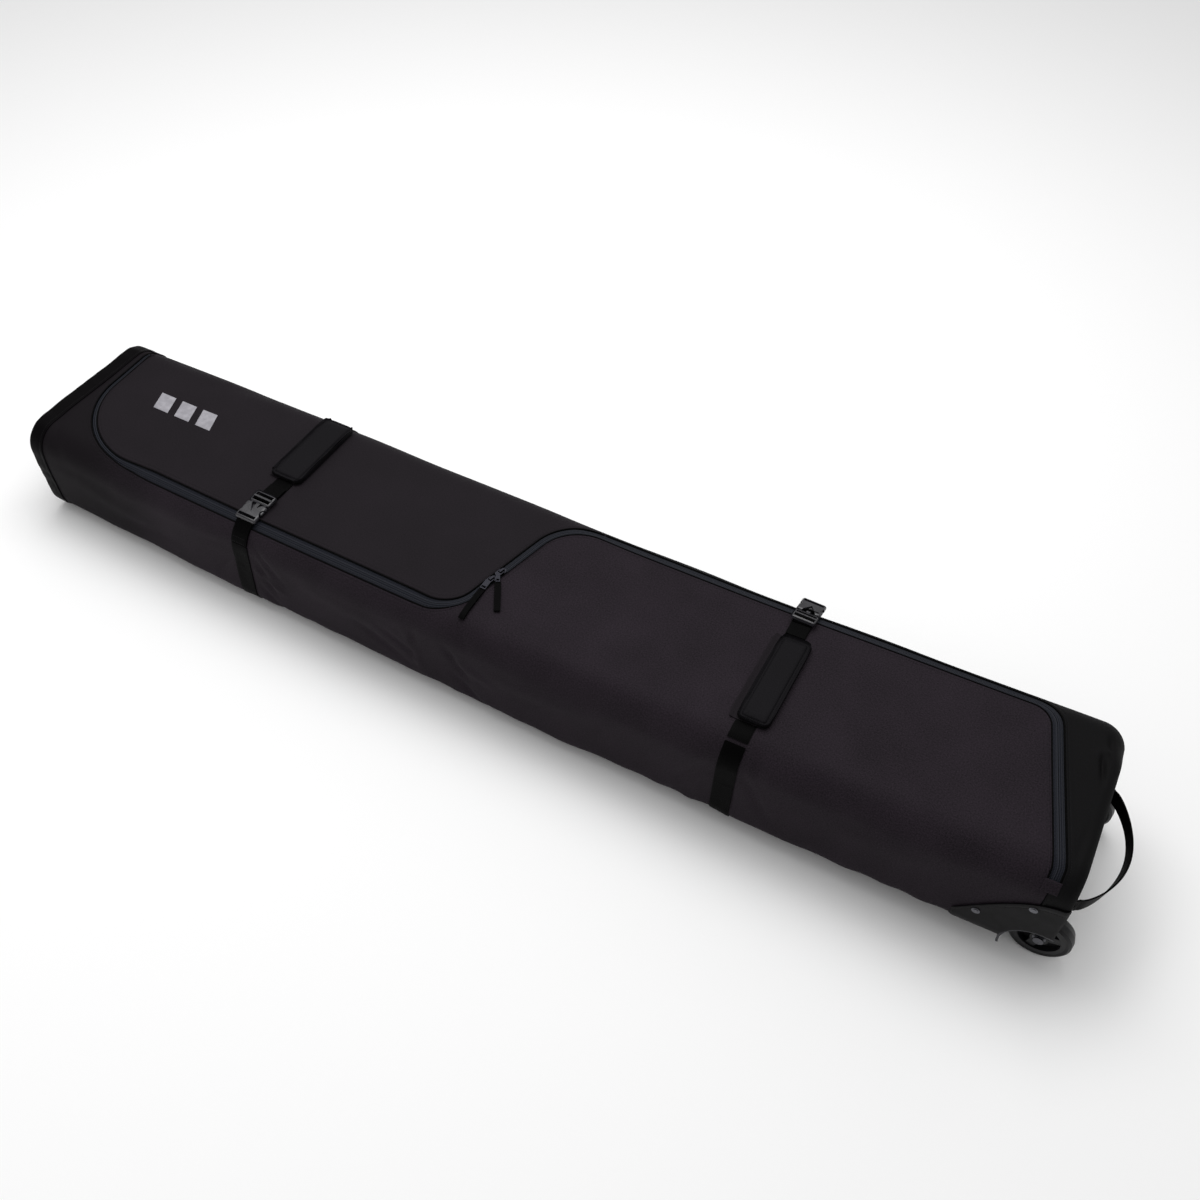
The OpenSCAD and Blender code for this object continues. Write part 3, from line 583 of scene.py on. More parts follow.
def panelPlan(inner, outer, cols):
    near = np.array(edgeSteps)
    share = np.linspace(0, 1, cols + 1 - len(near) + 1)[1:]

    def plan(u, v):
        xi, wi = inner(u)
        xo, wo = outer(u)
        long = np.hypot(xo - xi, wo - wi)
        j = np.rint(v * cols).astype(int)
        first = near[np.minimum(j, len(near) - 1)]
        rest = near[-1] + (long - near[-1]) * share[np.clip(j - len(near), 0, len(share) - 1)]
        t = np.where(j < len(near), first, rest) / long
        return xi + (xo - xi) * t, wi + (wo - wi) * t
    return plan


def hemLift(u, v, cols):
    # the turned edge is round, with a sewn groove 5 mm in
    j = np.rint(v * cols).astype(int)
    return np.array([-0.9, 0.1, 0.75, 0.85, 0.5, 0.0, 0.45, 0.2, 0.0, 0.0])[np.minimum(j, 9)]


seamX = {"nearBottom": -80.0, "far": 62.0, "zipTab": 828.0, "wheelStrip": 828.6}
nosePath = {"x": noseX + 5, "inner": -835.0, "seamAt": -822.0}
arcEnd = zipArcs[0][1]
farDrop = 200.0          # how far a panel goes on down the far side
openEnd = zipEnd + 9     # where the panels beside the zip end


def nearLeftInner(u):
    d = u * (farDrop + sideSeam)
    s = np.maximum(0, d - farDrop)
    x, w = besideZip(s, -hem(s))
    wFar = np.interp(d, [0, farDrop], [seamW(np.array(nosePath["seamAt"])), 131.0])
    onSide = d < farDrop
    return np.where(onSide, nosePath["inner"], x), np.where(onSide, wFar, w)


def nearLeftOuter(u):
    total = farDrop + sideSeam
    keys = [0, farDrop / total, (farDrop + arcEnd) / total, 1]
    bottom = seamW(np.array(nosePath["x"]))
    x = np.interp(u, keys, [nosePath["x"], nosePath["x"], nosePath["x"], seamX["nearBottom"]])
    w = np.interp(u, keys, [bottom, 131.0, -bottom, -bottom])
    return x, np.where(u > keys[2], -seamW(x), w)


def rightInner(u):
    s = sideSeam + u * (openEnd - sideSeam)
    return besideZip(s, -hem(s))


def rightOuter(u):
    x = np.interp(u, [0, 1], [seamX["nearBottom"], seamX["zipTab"]])
    return x, -seamW(x)


def leftInner(u):
    s = u * crossEnd
    return besideZip(s, hem(s))


def leftOuter(u):
    x = np.interp(u, [0, 0.3, 1], [nosePath["inner"], -640, seamX["far"]])
    return x, seamW(x)


def farRightInner(u):
    d = u * (openEnd - crossEnd + farDrop)
    s = np.minimum(openEnd, crossEnd + d)
    x, w = besideZip(s, hem(s))
    down = d - (openEnd - crossEnd)
    onSide = down > 0
    wSide = np.interp(down, [0, farDrop], [float(w.min()), -float(seamW(np.array(wheelEndX)))])
    return np.where(onSide, seamX["wheelStrip"], x), np.where(onSide, wSide, w)


def farRightOuter(u):
    total = openEnd - crossEnd + farDrop
    keys = [0, (zipArcs[3][0] - crossEnd) / total, (openEnd - crossEnd) / total, 1]
    edge = wheelEndX - bag["endRound"] * (1 - math.sin(math.radians(60)))
    bottom = float(seamW(np.array(edge)))
    x = np.interp(u, keys, [seamX["far"], edge, edge, edge])
    w = np.interp(u, keys, [bottom, bottom, -150.0, -bottom])
    return x, np.where(u < keys[1], seamW(x), w)


wheelWell = {"radius": 50.5, "x": 854.0, "z": 43.0, "inner": 92, "outer": 190}


def makeWellCutter(side):
    # the room for a wheel: round above the axle, open below it and behind it
    radius, x0, z0 = wheelWell["radius"], wheelWell["x"] + bag["shift"], wheelWell["z"]
    outline = [(x0 - radius, -12), (x0 + 60, -12), (x0 + 60, z0 + radius)]
    outline += [(x0 - radius * math.sin(a), z0 + radius * math.cos(a))
                for a in np.linspace(0, math.pi / 2, 20)]
    ends = [[(x * mm, side * y * mm, z * mm) for x, z in outline]
            for y in (wheelWell["inner"], wheelWell["outer"])]
    n = len(outline)
    walls = [(i, (i + 1) % n, n + (i + 1) % n, n + i) for i in range(n)]
    return addMesh("wellCutter", ends[0] + ends[1],
                   walls + [tuple(range(n))[::-1], tuple(range(n, 2 * n))])


wellCutters = {side: makeWellCutter(side) for side in (-1, 1)}


def cutWells(piece, sides=(-1, 1)):
    for side in sides:
        applyModifier(piece, "BOOLEAN", operation="DIFFERENCE", object=wellCutters[side], solver="MANIFOLD")
    smoothShade(piece)


def makePanel(name, rows, cols, inner, outer):
    return layCloth(name, rows, cols, panelPlan(inner, outer, cols),
                    lambda u, v: hemLift(u, v, cols), clothThick)


nearLeft = makePanel("nearLeftCloth", 250, 66, nearLeftInner, nearLeftOuter)
attach(nearLeft, "bag", warmCloth, ["near_wall", "nose_top_strip"])
rightTop = makePanel("rightLidCloth", 230, 96, rightInner, rightOuter)
cutWells(rightTop, [-1])
attach(rightTop, "right_lid", warmCloth, ["right_lid"])
leftTop = makePanel("leftLidCloth", 230, 96, leftInner, leftOuter)
attach(leftTop, "left_lid", plainCloth, ["left_lid"])
farRight = makePanel("farRightCloth", 250, 66, farRightInner, farRightOuter)
cutWells(farRight)
attach(farRight, "bag", endCloth, ["far_wall", "wheel_end_top_strip"])
print("panels laid")


# ---- Base, linings and end caps ----
baseLong = 1720


def basePlace(inset, up):
    def place(u, v):
        x = -baseLong / 2 + baseLong * u
        y = (2 * v - 1) * (halfWidth(x) - bag["bottomRadius"] - inset)
        z = floorZ(x) + up + 0.35 * np.sin(x / 37) * np.sin(y / 29)
        x = x + bag["noseLean"] * smooth(-x, bag["leanFrom"], bag["halfLength"])
        points = np.stack([x + bag["shift"], y, z], axis=-1) * mm
        return points, points - np.array([0, 0, mm])
    return place


def baseMap(u, v):
    return baseLong * u, 240 * v


for name, rows, cols, inset, up, thick, slotName, material, node in (
        ("baseCloth", 172, 24, -0.5, 0, clothThick, "guard", coatedCloth, "base_shell"),
        ("baseFoam", 86, 12, 2.5, 3.2, 4.5, "foam", liningCloth, "base_foam")):
    base = gridPiece(name, rows, cols, basePlace(inset, up), thick, baseMap)
    cutWells(base)
    attach(base, "bag", material, [node])


def quilted(u, v, across, along):  # how many cushions across and along
    return 0.9 * np.abs(np.sin(math.pi * across * v)) * np.abs(np.sin(math.pi * along * u)) ** 0.5


def wallLining(side):
    def plan(u, v):
        x = -856 + 1712 * u
        return x, side * (137 + (seamW(x) - 141) * v)
    return plan


for side, name in ((-1, "near"), (1, "far")):
    lining = layCloth(f"{name}WallLining", 170, 20, wallLining(side),
                      lambda u, v: -4.2 - quilted(u, v, 3, 26), 4.2)
    cutWells(lining, [side])
    attach(lining, "bag", liningCloth, [f"{name}_wall_foam"])


def lidLining(inner, side):
    def plan(u, v):
        xi, wi = inner(0.02 + 0.96 * u)
        wi = np.where(side * wi > 100, side * 100, wi)
        return xi, wi + (side * 124 - wi) * (0.06 + 0.94 * v)
    return plan


def openLiningInner(u):
    s = crossStart + u * (zipLong - crossStart)
    return besideZip(s, -hem(s) - 6)


def leftLiningInner(u):
    s = u * crossEnd
    return besideZip(s, hem(s) + 6)


for side, name, inner in ((1, "left", leftLiningInner), (-1, "right", openLiningInner)):
    lining = layCloth(f"{name}LidLining", 150, 30, lidLining(inner, side),
                      lambda u, v: -3.8 - quilted(u, v, 4, 14), 4.2)
    attach(lining, f"{name}_lid", liningCloth, [f"{name}_lid_foam"])


def rimAt(xEdge):  # half the way round an end, along the cloth
    return float(seamW(np.array(xEdge))) + float(halfWidth(np.array(xEdge))) - bag["bottomRadius"]


def capPlace(xEdge, outward, crown, grow):
    # from the outline at the end inwards to one pole, slightly crowned
    def place(u, v):
        rim = rimAt(xEdge)
        points = skin(np.full_like(u, xEdge), (2 * u - 1) * rim, grow)
        centre = np.array([(xEdge + bag["shift"]) * mm, 0, (floorZ(xEdge) + flatTop(xEdge)) / 2 * mm])
        t = (v ** 0.8)[:, None]
        points = points * (1 - t) + centre * t
        rise = crown * (1 - (1 - v) ** 3)
        points[:, 0] += outward * rise * mm
        return points, points + np.array([outward * mm, 0, 0])
    return place


def capMap(u, v):
    return 900 * u, 140 * v


def closePole(piece):
    pick(piece)
    bpy.ops.object.mode_set(mode="EDIT")
    bpy.ops.mesh.select_all(action="SELECT")
    bpy.ops.mesh.remove_doubles(threshold=0.02 * mm)
    bpy.ops.object.mode_set(mode="OBJECT")


def makeCap(name, xEdge, outward, crown, grow):
    piece = gridPiece(name, 180, 26, capPlace(xEdge, outward, crown, grow), 0, capMap)
    closePole(piece)
    applyModifier(piece, "SOLIDIFY", thickness=clothThick * mm, offset=-1)
    smoothShade(piece)
    return piece


noseCap = makeCap("noseCap", noseX + 1, -1, 7.0, -0.6)
attach(noseCap, "bag", warmCloth, ["nose_panel"])
wheelCap = makeCap("wheelEndCap", wheelEndX - 2.4, 1, 4.0, 0.0)
cutWells(wheelCap)
attach(wheelCap, "bag", endCloth, ["wheel_end_panel"])
print("base, linings and caps made")

# ---- Binding at the nose: folded over the edge, with small puckers ----
binding = {
    # x and height over the cloth, from the bag's side round the edge
    "profile": [(-838.0, 0.2), (-838.4, 1.5), (-841, 1.9), (-843.5, 1.4), (-850, 2.0), (-858, 2.0),
                (-863.5, 1.7), (-866.2, 0.2), (-867.2, -2.5), (-867.4, -8.0), (-866.0, -10.5)],
    "thick": 1.1,
    "seamAt": -842.6,
}


def bindingPlace(u, v):
    profile = np.array(binding["profile"])
    keys = np.linspace(0, 1, len(profile))
    w = (2 * u - 1) * rimAt(noseX)
    pucker = 0.35 * np.sin(w / 5.1 + np.sin(w / 17) * 2) + 0.3 * np.sin(w / 11.3)
    x = np.interp(v, keys, profile[:, 0]) + 0.5 * np.sin(w / 23)
    loose = np.interp(v, [0, 0.15, 0.4, 0.7, 1], [0, 0.3, 1, 0.6, 0])
    up = np.interp(v, keys, profile[:, 1]) + pucker * loose
    return skin(x, w, up), skin(x - 0.4, w, up + 1)


def bindingMap(u, v):
    return 35 * v, 900 * u


edgeTape = gridPiece("noseBinding", 300, 20, bindingPlace, 0, bindingMap)
closePole(edgeTape)
applyModifier(edgeTape, "SOLIDIFY", thickness=binding["thick"] * mm, offset=-1)
smoothShade(edgeTape, 50)
attach(edgeTape, "bag", grosgrain, ["nose_binding"])
ringW = np.linspace(-300, 300, 300)
sew("bag", np.full_like(ringW, binding["seamAt"]), ringW, 2.2)


# ---- Zip: ribbed tapes, piping and end tabs ----
def tapePiece(name, start, end, sign):
    wide = zipLine["tapeWide"]

    def plan(u, v):
        return besideZip(start + u * (end - start), sign * (0.25 + v * (wide - 0.25)))

    def lift(u, v):  # a bead over the coil, and ribs beside it
        off = v * wide
        return -1.3 + 1.1 * np.exp(-((off - 1.1) / 1.0) ** 2) + 0.35 * np.cos(2 * math.pi * off / 2.4)

    def mapped(u, v):
        return start + u * (end - start), v * wide
    return layCloth(name, max(40, int((end - start) / 5)), 22, plan, lift, 1.2, mapped)


for name, start, end, sign, body, node in (
        ("nearZipTape", 0, crossStart, -1, "bag", "zip_tape_near"),
        ("farZipTape", crossEnd, zipEnd, 1, "bag", "zip_tape_far"),
        ("leftLidZipTape", 0, crossEnd, 1, "left_lid", "left_lid_zip_tape"),
        ("rightLidZipTape", crossStart, zipEnd, -1, "right_lid", "right_lid_zip_tape")):
    attach(tapePiece(name, start, end, sign), body, zipTape, [node])

for name, start, end, sign, body in (("nearLeftPiping", 0, sideSeam, -1, "bag"),
                                     ("rightLidPiping", sideSeam, zipEnd, -1, "right_lid"),
                                     ("leftLidPiping", 0, crossEnd, 1, "left_lid"),
                                     ("farRightPiping", crossEnd, zipEnd, 1, "bag")):
    s = np.arange(start, end, 4.0)
    x, w = besideZip(s, sign * (hem(s) - 0.5))
    attach(layCord(name, skin(x, w, 0.1), 1.25), body, piping)
    x, w = besideZip(s, sign * (hem(s) + 5.2))
    sew(body, x, w, 0.25)


def tabPlan(x0, side, w0, w1, wide):
    def plan(u, v):
        return x0 + (v - 0.5) * wide, side * (w0 + (w1 - w0) * u)
    return plan


def tabLift(top):
    def lift(u, v):
        edge = np.minimum(np.minimum(u, 1 - u) * 12, np.minimum(v, 1 - v) * 16)
        return top - 0.9 * (1 - np.clip(edge, 0, 1)) ** 2
    return lift


def tabMap(wide, long):
    def mapped(u, v):
        return v * wide, u * long
    return mapped


for name, rows, x0, side, w0, wide, up, nodes in (
        ("zipTabWheelEnd", 20, 828.3, -1, 139, 21, 1.9, ["zip_end_tabs"]),
        ("zipTabNose", 16, -827, 1, 128, 20, 1.5, [])):
    tab = layCloth(name, rows, 14, tabPlan(x0, side, w0, w0 + 18, wide), tabLift(up), 1.6, tabMap(wide, 18))
    attach(tab, "bag", warmCloth, nodes)
for at in (142.0, 154.0):
    sewAcross("bag", 828.5, 9.0, -at, 2.2, 12)
print("zips made")

# ---- Straps ----
strap = {"wide": 30.0, "thick": 1.4, "endW": 322.0}


def strapPiece(name, x0, side, w0, w1, lift, rows, thick=strap["thick"], wide=strap["wide"]):
    def up(u, v):
        w = w0 + (w1 - w0) * u
        level = np.interp(w, lift[0], lift[1])
        return level + 0.25 * (1 - (2 * v - 1) ** 8) + 0.15 * np.sin(w / 9)

    return layCloth(name, rows, 12, tabPlan(x0, side, w0, w1, wide), up, thick, tabMap(wide, w1 - w0))


for hand, side in (("left", -1), ("right", 1)):
    # the left buckle is on the near side and the right one on the far side
    x0, end = strapX[hand], strap["endW"]
    places = ("near", "far") if hand == "left" else ("far", "near")
    lower = strapPiece(f"{hand}StrapUnderBuckle", x0, side, 163, end, ([163, end], [1.5, 1.5]), 60)
    attach(lower, "bag", webbing, [f"{hand}_strap_{places[0]}"])
    other = strapPiece(f"{hand}StrapFarSide", x0, -side, 132.5, end, ([132, end], [1.6, 1.5]), 66)
    attach(other, "bag", webbing, [f"{hand}_strap_{places[1]}"])
    for at in (214.0, 300.0):
        sewAcross("bag", x0, 13, -side * at, 2.0, 16)
        sewAcross("bag", x0, 13, side * (at - 4), 2.0, 16)

# each level: distances along the cloth, and the webbing's height over it there
loopLift = {"left": ([118, 126, 134, 146, 161], [5.4, 4.8, 3.4, 2.9, 2.8]),
            "right": ([124, 133, 141, 150, 161], [9.5, 7.0, 4.2, 3.1, 2.9])}
for hand, side in (("left", -1), ("right", 1)):
    w, up = loopLift[hand]
    loop = strapPiece(f"{hand}SocketLoop", strapX[hand], side, w[0], w[-1], (w, up), 40, 2.6, 29.0)
    attach(loop, f"{hand}_socket", webbing, [f"{hand}_socket_loop"])
    for at in (w[-1] - 11, w[-1] - 2.5):
        sewAcross(f"{hand}_socket", strapX[hand], 12.5, side * at, np.interp(at, w, up) + 0.5, 14)

# the strap's top run, from under the fold to the plug, with its doubled and sewn end
topRun = {"left": ([-78, -70, -60, -40, -30, 127], [6.4, 4.6, 2.8, 1.7, 1.6, 1.6]),
          "right": ([-109, -101, -91, -71, -60, 127], [5.2, 4.4, 3.4, 2.0, 1.6, 1.6])}
for hand, side in (("left", 1), ("right", -1)):
    w, up = topRun[hand]
    top = strapPiece(f"{hand}StrapTop", strapX[hand], side, w[0], w[-1], (w, up), 90)
    attach(top, f"{hand}_lid", webbing, [f"{hand}_strap_top"])
    low, high = w[1] + 6, w[0] + 36
    tail = strapPiece(f"{hand}StrapTail", strapX[hand], side, low, high,
                      ([low, w[2], w[3], high], [up[1] + 1.0, up[2] + 1.4, up[3] + 1.7, 3.3]), 14,
                      wide=29.0)
    attach(tail, f"{hand}_lid", webbing)
    sewAcross(f"{hand}_lid", strapX[hand], 13, side * (high - 3.0), 3.8, 16)
print("straps laid")

# ---- Carrying pads: a thin layer under the strap and a padded one over it ----
pads = {
    "left": {"x": -430.0, "w": (-23.0, 126.0), "wide": 55.0, "underX": -433.0, "underWide": 54.0},
    "right": {"x": 408.5, "w": (-97.0, 66.0), "wide": 46.0, "underX": 396.0, "underWide": 44.0},
}
padShape = {"corner": 9.0, "thick": 4.6, "above": 2.2, "groove": 5.0, "crown": 1.3, "voxel": 1.6,
            "swell": 1.2, "fill": 0.5}


def roundRectInside(a, b, halfA, halfB, radius):
    # distance inside a rectangle with round corners
    qa, qb = np.abs(a) - (halfA - radius), np.abs(b) - (halfB - radius)
    outside = np.hypot(np.maximum(qa, 0), np.maximum(qb, 0)) + np.minimum(np.maximum(qa, qb), 0) - radius
    return -outside


def plumpPad(piece, limit):
    # pressure inside the closed cover swells it, and the cap keeps the seams in place
    start = readPoints(piece.data)
    cloth = piece.modifiers.new("cloth", "CLOTH")
    cloth.settings.use_pressure = True
    cloth.settings.uniform_pressure_force = 4.0
    cloth.settings.effector_weights.gravity = 0.0
    cloth.settings.quality = 5
    cloth.point_cache.frame_start, cloth.point_cache.frame_end = 1, 20
    for number in range(1, 21):
        bpy.context.scene.frame_set(number)
    pick(piece)
    bpy.ops.object.modifier_apply(modifier="cloth")
    bpy.context.scene.frame_set(1)
    move = readPoints(piece.data) - start
    size = np.linalg.norm(move, axis=1, keepdims=True)
    move *= np.minimum(1, limit / np.maximum(size, 1e-9))
    piece.data.vertices.foreach_set("co", (start + move).ravel())


def makePad(hand):
    pad = pads[hand]
    body, corner, groove = f"{hand}_lid", padShape["corner"], padShape["groove"]
    long, middle = pad["w"][1] - pad["w"][0], sum(pad["w"]) / 2
    bpy.ops.object.select_all(action="DESELECT")
    bpy.ops.mesh.primitive_cube_add(size=1)
    piece = bpy.context.active_object
    piece.name = f"{hand}CarryPad"
    piece.scale = (pad["wide"] * mm, long * mm, padShape["thick"] * mm)
    bpy.ops.object.transform_apply(scale=True)
    bpy.ops.object.mode_set(mode="EDIT")
    bpy.ops.mesh.select_all(action="DESELECT")
    bpy.ops.object.mode_set(mode="OBJECT")
    for edge in piece.data.edges:
        a, b = (piece.data.vertices[i].co for i in edge.vertices)
        edge.select = abs(a.z - b.z) > 1 * mm
    bpy.ops.object.mode_set(mode="EDIT")
    bpy.ops.mesh.bevel(offset=corner * mm, segments=6)
    bpy.ops.object.mode_set(mode="OBJECT")
    piece.data.remesh_voxel_size = padShape["voxel"] * mm
    bpy.ops.object.voxel_remesh()
    plumpPad(piece, padShape["swell"] * mm)
    applyModifier(piece, "SUBSURF", levels=1, render_levels=1)
    a, b, c = readPoints(piece.data).T / mm
    inside = roundRectInside(a, b, pad["wide"] / 2, long / 2, corner)
    crown = padShape["crown"] * np.clip(inside / 12, 0, 1) ** 0.6
    channel = -0.9 * np.exp(-((inside - groove) / 1.0) ** 2)
    c = np.where(c > 0, c + crown + channel, c)
    points = skin(pad["x"] + a, middle + b, padShape["above"] + padShape["thick"] / 2 + c)
    piece.data.vertices.foreach_set("co", points.ravel())
    piece.data.update()
    mapCloth(piece.data, a, b)
    smoothShade(piece, 60)
    attach(piece, body, padCloth, [f"{hand}_carry_pad"])

    # the piped edge and the sewn channel inside it
    rim = []
    for k, (sa, sb) in enumerate(((1, 1), (-1, 1), (-1, -1), (1, -1))):
        for t in np.linspace(0, math.pi / 2, 9):
            turn = k * math.pi / 2 + t
            rim.append((sa * (pad["wide"] / 2 - corner) + corner * math.cos(turn),
                        sb * (long / 2 - corner) + corner * math.sin(turn)))
    rim.append(rim[0])
    rim = np.array(rim)
    run = np.concatenate([[0], np.cumsum(np.hypot(*np.diff(rim, axis=0).T))])
    at = np.arange(0, run[-1], 3.0)
    ra, rb = np.interp(at, run, rim[:, 0]), np.interp(at, run, rim[:, 1])
    edging = layCord(f"{hand}PadPiping", skin(pad["x"] + ra, middle + rb,
                                              padShape["above"] + padShape["thick"] * 0.62), 1.2, 2)
    attach(edging, body, piping)
    shrink = 1 - 2 * groove / np.array([pad["wide"], long])
    sew(body, pad["x"] + ra * shrink[0], middle + rb * shrink[1],
        padShape["above"] + padShape["thick"] + 0.1, 3.0)


def makeUnderLayer(hand):
    pad = pads[hand]
    long = pad["w"][1] - pad["w"][0]

    def plan(u, v):
        a, b = (v - 0.5) * pad["underWide"], (u - 0.5) * (long + 2)
        pinch = 1 - 0.12 * (2 * u - 1) ** 10
        return pad["underX"] + a * pinch, sum(pad["w"]) / 2 + b

    def lift(u, v):
        edge = np.minimum(v, 1 - v)
        wrap = 1.6 * (1 - smooth(edge, 0, 0.16))  # the sides turn up round the webbing
        return 1.7 + wrap + 0.25 * np.sin(u * 21)

    piece = layCloth(f"{hand}PadUnderLayer", 60, 18, plan, lift, 1.5, tabMap(pad["underWide"], long))
    attach(piece, f"{hand}_lid", plainCloth)


for hand in ("left", "right"):
    makePad(hand)
    makeUnderLayer(hand)
print("pads made")

# ---- Side-release buckles, in their own mm: y runs from the webbing bar to the socket ----
buckle = {
    "width": 38.0,
    "plugLong": 24.0,
    "plugThick": 5.0,
    "socketFront": 24.3,
    "socketLong": 35.0,
    "socketThick": 8.0,
    "socketLow": -1.5,
    "opening": 31.0,    # the width that the webbing passes through
    "softEdge": 0.9,
}
# place on the bag, height over its top, and tilt and turn in degrees
bucklePlace = {"left": ((-427.0, -66.0), 6.0, (-5, 180)), "right": ((402.0, 97.0), 8.5, (-18, 0))}


def addBlock(size, middle):
    bpy.ops.object.select_all(action="DESELECT")
    bpy.ops.mesh.primitive_cube_add(size=1, location=middle)
    piece = bpy.context.active_object
    piece.scale = size
    bpy.ops.object.transform_apply(location=True, rotation=True, scale=True)
    return piece


def addRod(radius, depth, middle, sides=40, flatten=1.0):
    bpy.ops.object.select_all(action="DESELECT")
    bpy.ops.mesh.primitive_cylinder_add(vertices=sides, radius=radius, depth=depth, location=middle)
    piece = bpy.context.active_object
    piece.scale = (1.0, flatten, 1.0)
    bpy.ops.object.transform_apply(location=True, rotation=True, scale=True)
    return piece


def roundUprights(piece, radius):
    pick(piece)
    bpy.context.tool_settings.mesh_select_mode = (False, True, False)
    for edge in piece.data.edges:
        a, b = (piece.data.vertices[i].co for i in edge.vertices)
        edge.select = abs(a.z - b.z) > 1 and abs(a.x - b.x) < 0.01 and abs(a.y - b.y) < 0.01
    bpy.ops.object.mode_set(mode="EDIT")
    bpy.ops.mesh.bevel(offset=radius, segments=5)
    bpy.ops.object.mode_set(mode="OBJECT")


def carve(piece, cutters, operation="DIFFERENCE"):
    for cutter in cutters:
        applyModifier(piece, "BOOLEAN", operation=operation, object=cutter, solver="MANIFOLD")
        bpy.data.objects.remove(cutter)


def softenEdges(piece):
    applyModifier(piece, "BEVEL", width=buckle["softEdge"], segments=2, limit_method="ANGLE", angle_limit=0.6)
    return piece


def makePlug():
    half, long, thick = buckle["width"] / 2, buckle["plugLong"], buckle["plugThick"]
    piece = addBlock((2 * half, long, thick), (0, long / 2, thick / 2))
    roundUprights(piece, 4.5)
    carve(piece, [addBlock((buckle["opening"], deep, 12), (0, y, 2)) for y, deep in ((7.2, 6.5), (16.6, 6))])
    bar = addBlock((32, 3.0, 3.4), (0, 11.9, 4.2))  # the ribbed bar that grips the webbing
    guide = addBlock((6, 20, 3), (0, long + 9, 2.5))
    arms = [addBlock((4, 21, 3), (s * 12, long + 9.5, 2.5)) for s in (-1, 1)]
    tips = [addBlock((5.4, 9, 4.4), (s * 16.2, long + 13, 2.5)) for s in (-1, 1)]
    for tip in tips:
        roundUprights(tip, 2.2)
    carve(piece, [bar, guide] + arms + tips, "UNION")
    return softenEdges(piece)


def makeSocket():
    half, long, thick = buckle["width"] / 2, buckle["socketLong"], buckle["socketThick"]
    front, low = buckle["socketFront"], buckle["socketLow"]
    piece = addBlock((2 * half, long, thick), (0, front + long / 2, low + thick / 2))
    roundUprights(piece, 4.0)
    notches = [addRod(9.0, 20, (s * (half + 4.6), front + 14.5, 0)) for s in (-1, 1)]
    window = addRod(14, 8, (0, front + 4.5, low + thick + 0.8), 3, 0.95)
    mouth = addBlock((buckle["opening"], 23, 4.6), (0, front + 10.4, 2.4))
    slot = addBlock((buckle["opening"], 5.5, 20), (0, front + 27.8, 2))
    carve(piece, notches + [mouth, window, slot])
    return softenEdges(piece)


def placeOf(hand):
    (x, y), up, (tilt, turn) = bucklePlace[hand]
    place = Matrix.Translation(((x + bag["shift"]) * mm, y * mm, (float(flatTop(np.array(x))) + up) * mm))
    return place @ Matrix.Rotation(math.radians(turn), 4, "Z") @ Matrix.Rotation(math.radians(tilt), 4, "X")


def finishBuckle(piece, name, hand, body, node):
    piece.data.transform(placeOf(hand) @ Matrix.Scale(mm, 4))
    piece.name = name
    smoothShade(piece, 35)
    attach(piece, body, buckleAcetal, [node])


def makeBarWebbing(hand):
    # the strap comes up through the frame, over the bar and down again
    place = placeOf(hand)
    track = np.array([(5.5, -2.4), (7.0, 0.5), (8.6, 4.0), (11.9, 5.9), (15.2, 4.0), (16.6, 0.5),
                      (16.0, -2.2)])

    def at(u, v, grow):
        keys = np.linspace(0, 1, len(track))
        yy, zz = np.interp(u, keys, track[:, 0]), np.interp(u, keys, track[:, 1]) + grow
        local = np.stack([(v - 0.5) * 29, yy, zz], axis=-1) * mm
        return np.array([place @ Vector(p) for p in local])

    piece = gridPiece(f"{hand}BarWebbing", 24, 8, lambda u, v: (at(u, v, 0), at(u, v, 1)), 1.3,
                      tabMap(29, 32))
    attach(piece, f"{hand}_plug", webbing)


for hand in ("left", "right"):
    finishBuckle(makePlug(), f"{hand}BucklePlug", hand, f"{hand}_plug", f"{hand}_buckle_plug")
    finishBuckle(makeSocket(), f"{hand}BuckleSocket", hand, f"{hand}_socket", f"{hand}_buckle_socket")
    makeBarWebbing(hand)
print("buckles made")

# ---- Pull tabs: folded webbing that droops on to the cloth ----
slant = np.array([60.0, 242.0]) / math.hypot(60, 242)  # the way that the zip crosses between the lids
crossing = {"corner": np.array([-55.0, -121.0]), "arm": 8.0}
pullTab = {"start": 14.0, "wide": 9.5, "thick": 2.3}
pulls = {"left": {"along": 83.0, "yaw": 15.0, "long": 62.0},
         "right": {"along": 104.0, "yaw": 44.0, "long": 58.0}}
for hand, pull in pulls.items():
    start = crossing["corner"] + slant * (pull["along"] - crossing["arm"])
    turn = math.radians(pull["yaw"])
    heading = np.array([-slant[0] * math.cos(turn) + slant[1] * math.sin(turn),
                        -slant[0] * math.sin(turn) - slant[1] * math.cos(turn)])
    across = np.array([-heading[1], heading[0]])

    def tabPlace(u, v, grow=0.0):
        run = pullTab["start"] + pull["long"] * u
        offset = (v - 0.5) * pullTab["wide"]
        x = start[0] + heading[0] * run + across[0] * offset
        y = start[1] + heading[1] * run + across[1] * offset
        up = np.interp(u, [0, 0.2, 0.6, 1], [3.2, 4.8, 5.0, 4.4]) + 0.9 * (v - 0.5) * np.sin(3 * u) + grow
        return skin(x, clothW(x, y * bag["halfWidth"] / halfWidth(x)), up)

    tab = gridPiece(f"{hand}PullTab", 40, 8, lambda u, v: (tabPlace(u, v), tabPlace(u, v, 1)),
                    pullTab["thick"], tabMap(pullTab["wide"], 62))
    attach(tab, f"{hand}_pull", webbing, [f"{hand}_pull_tab"])

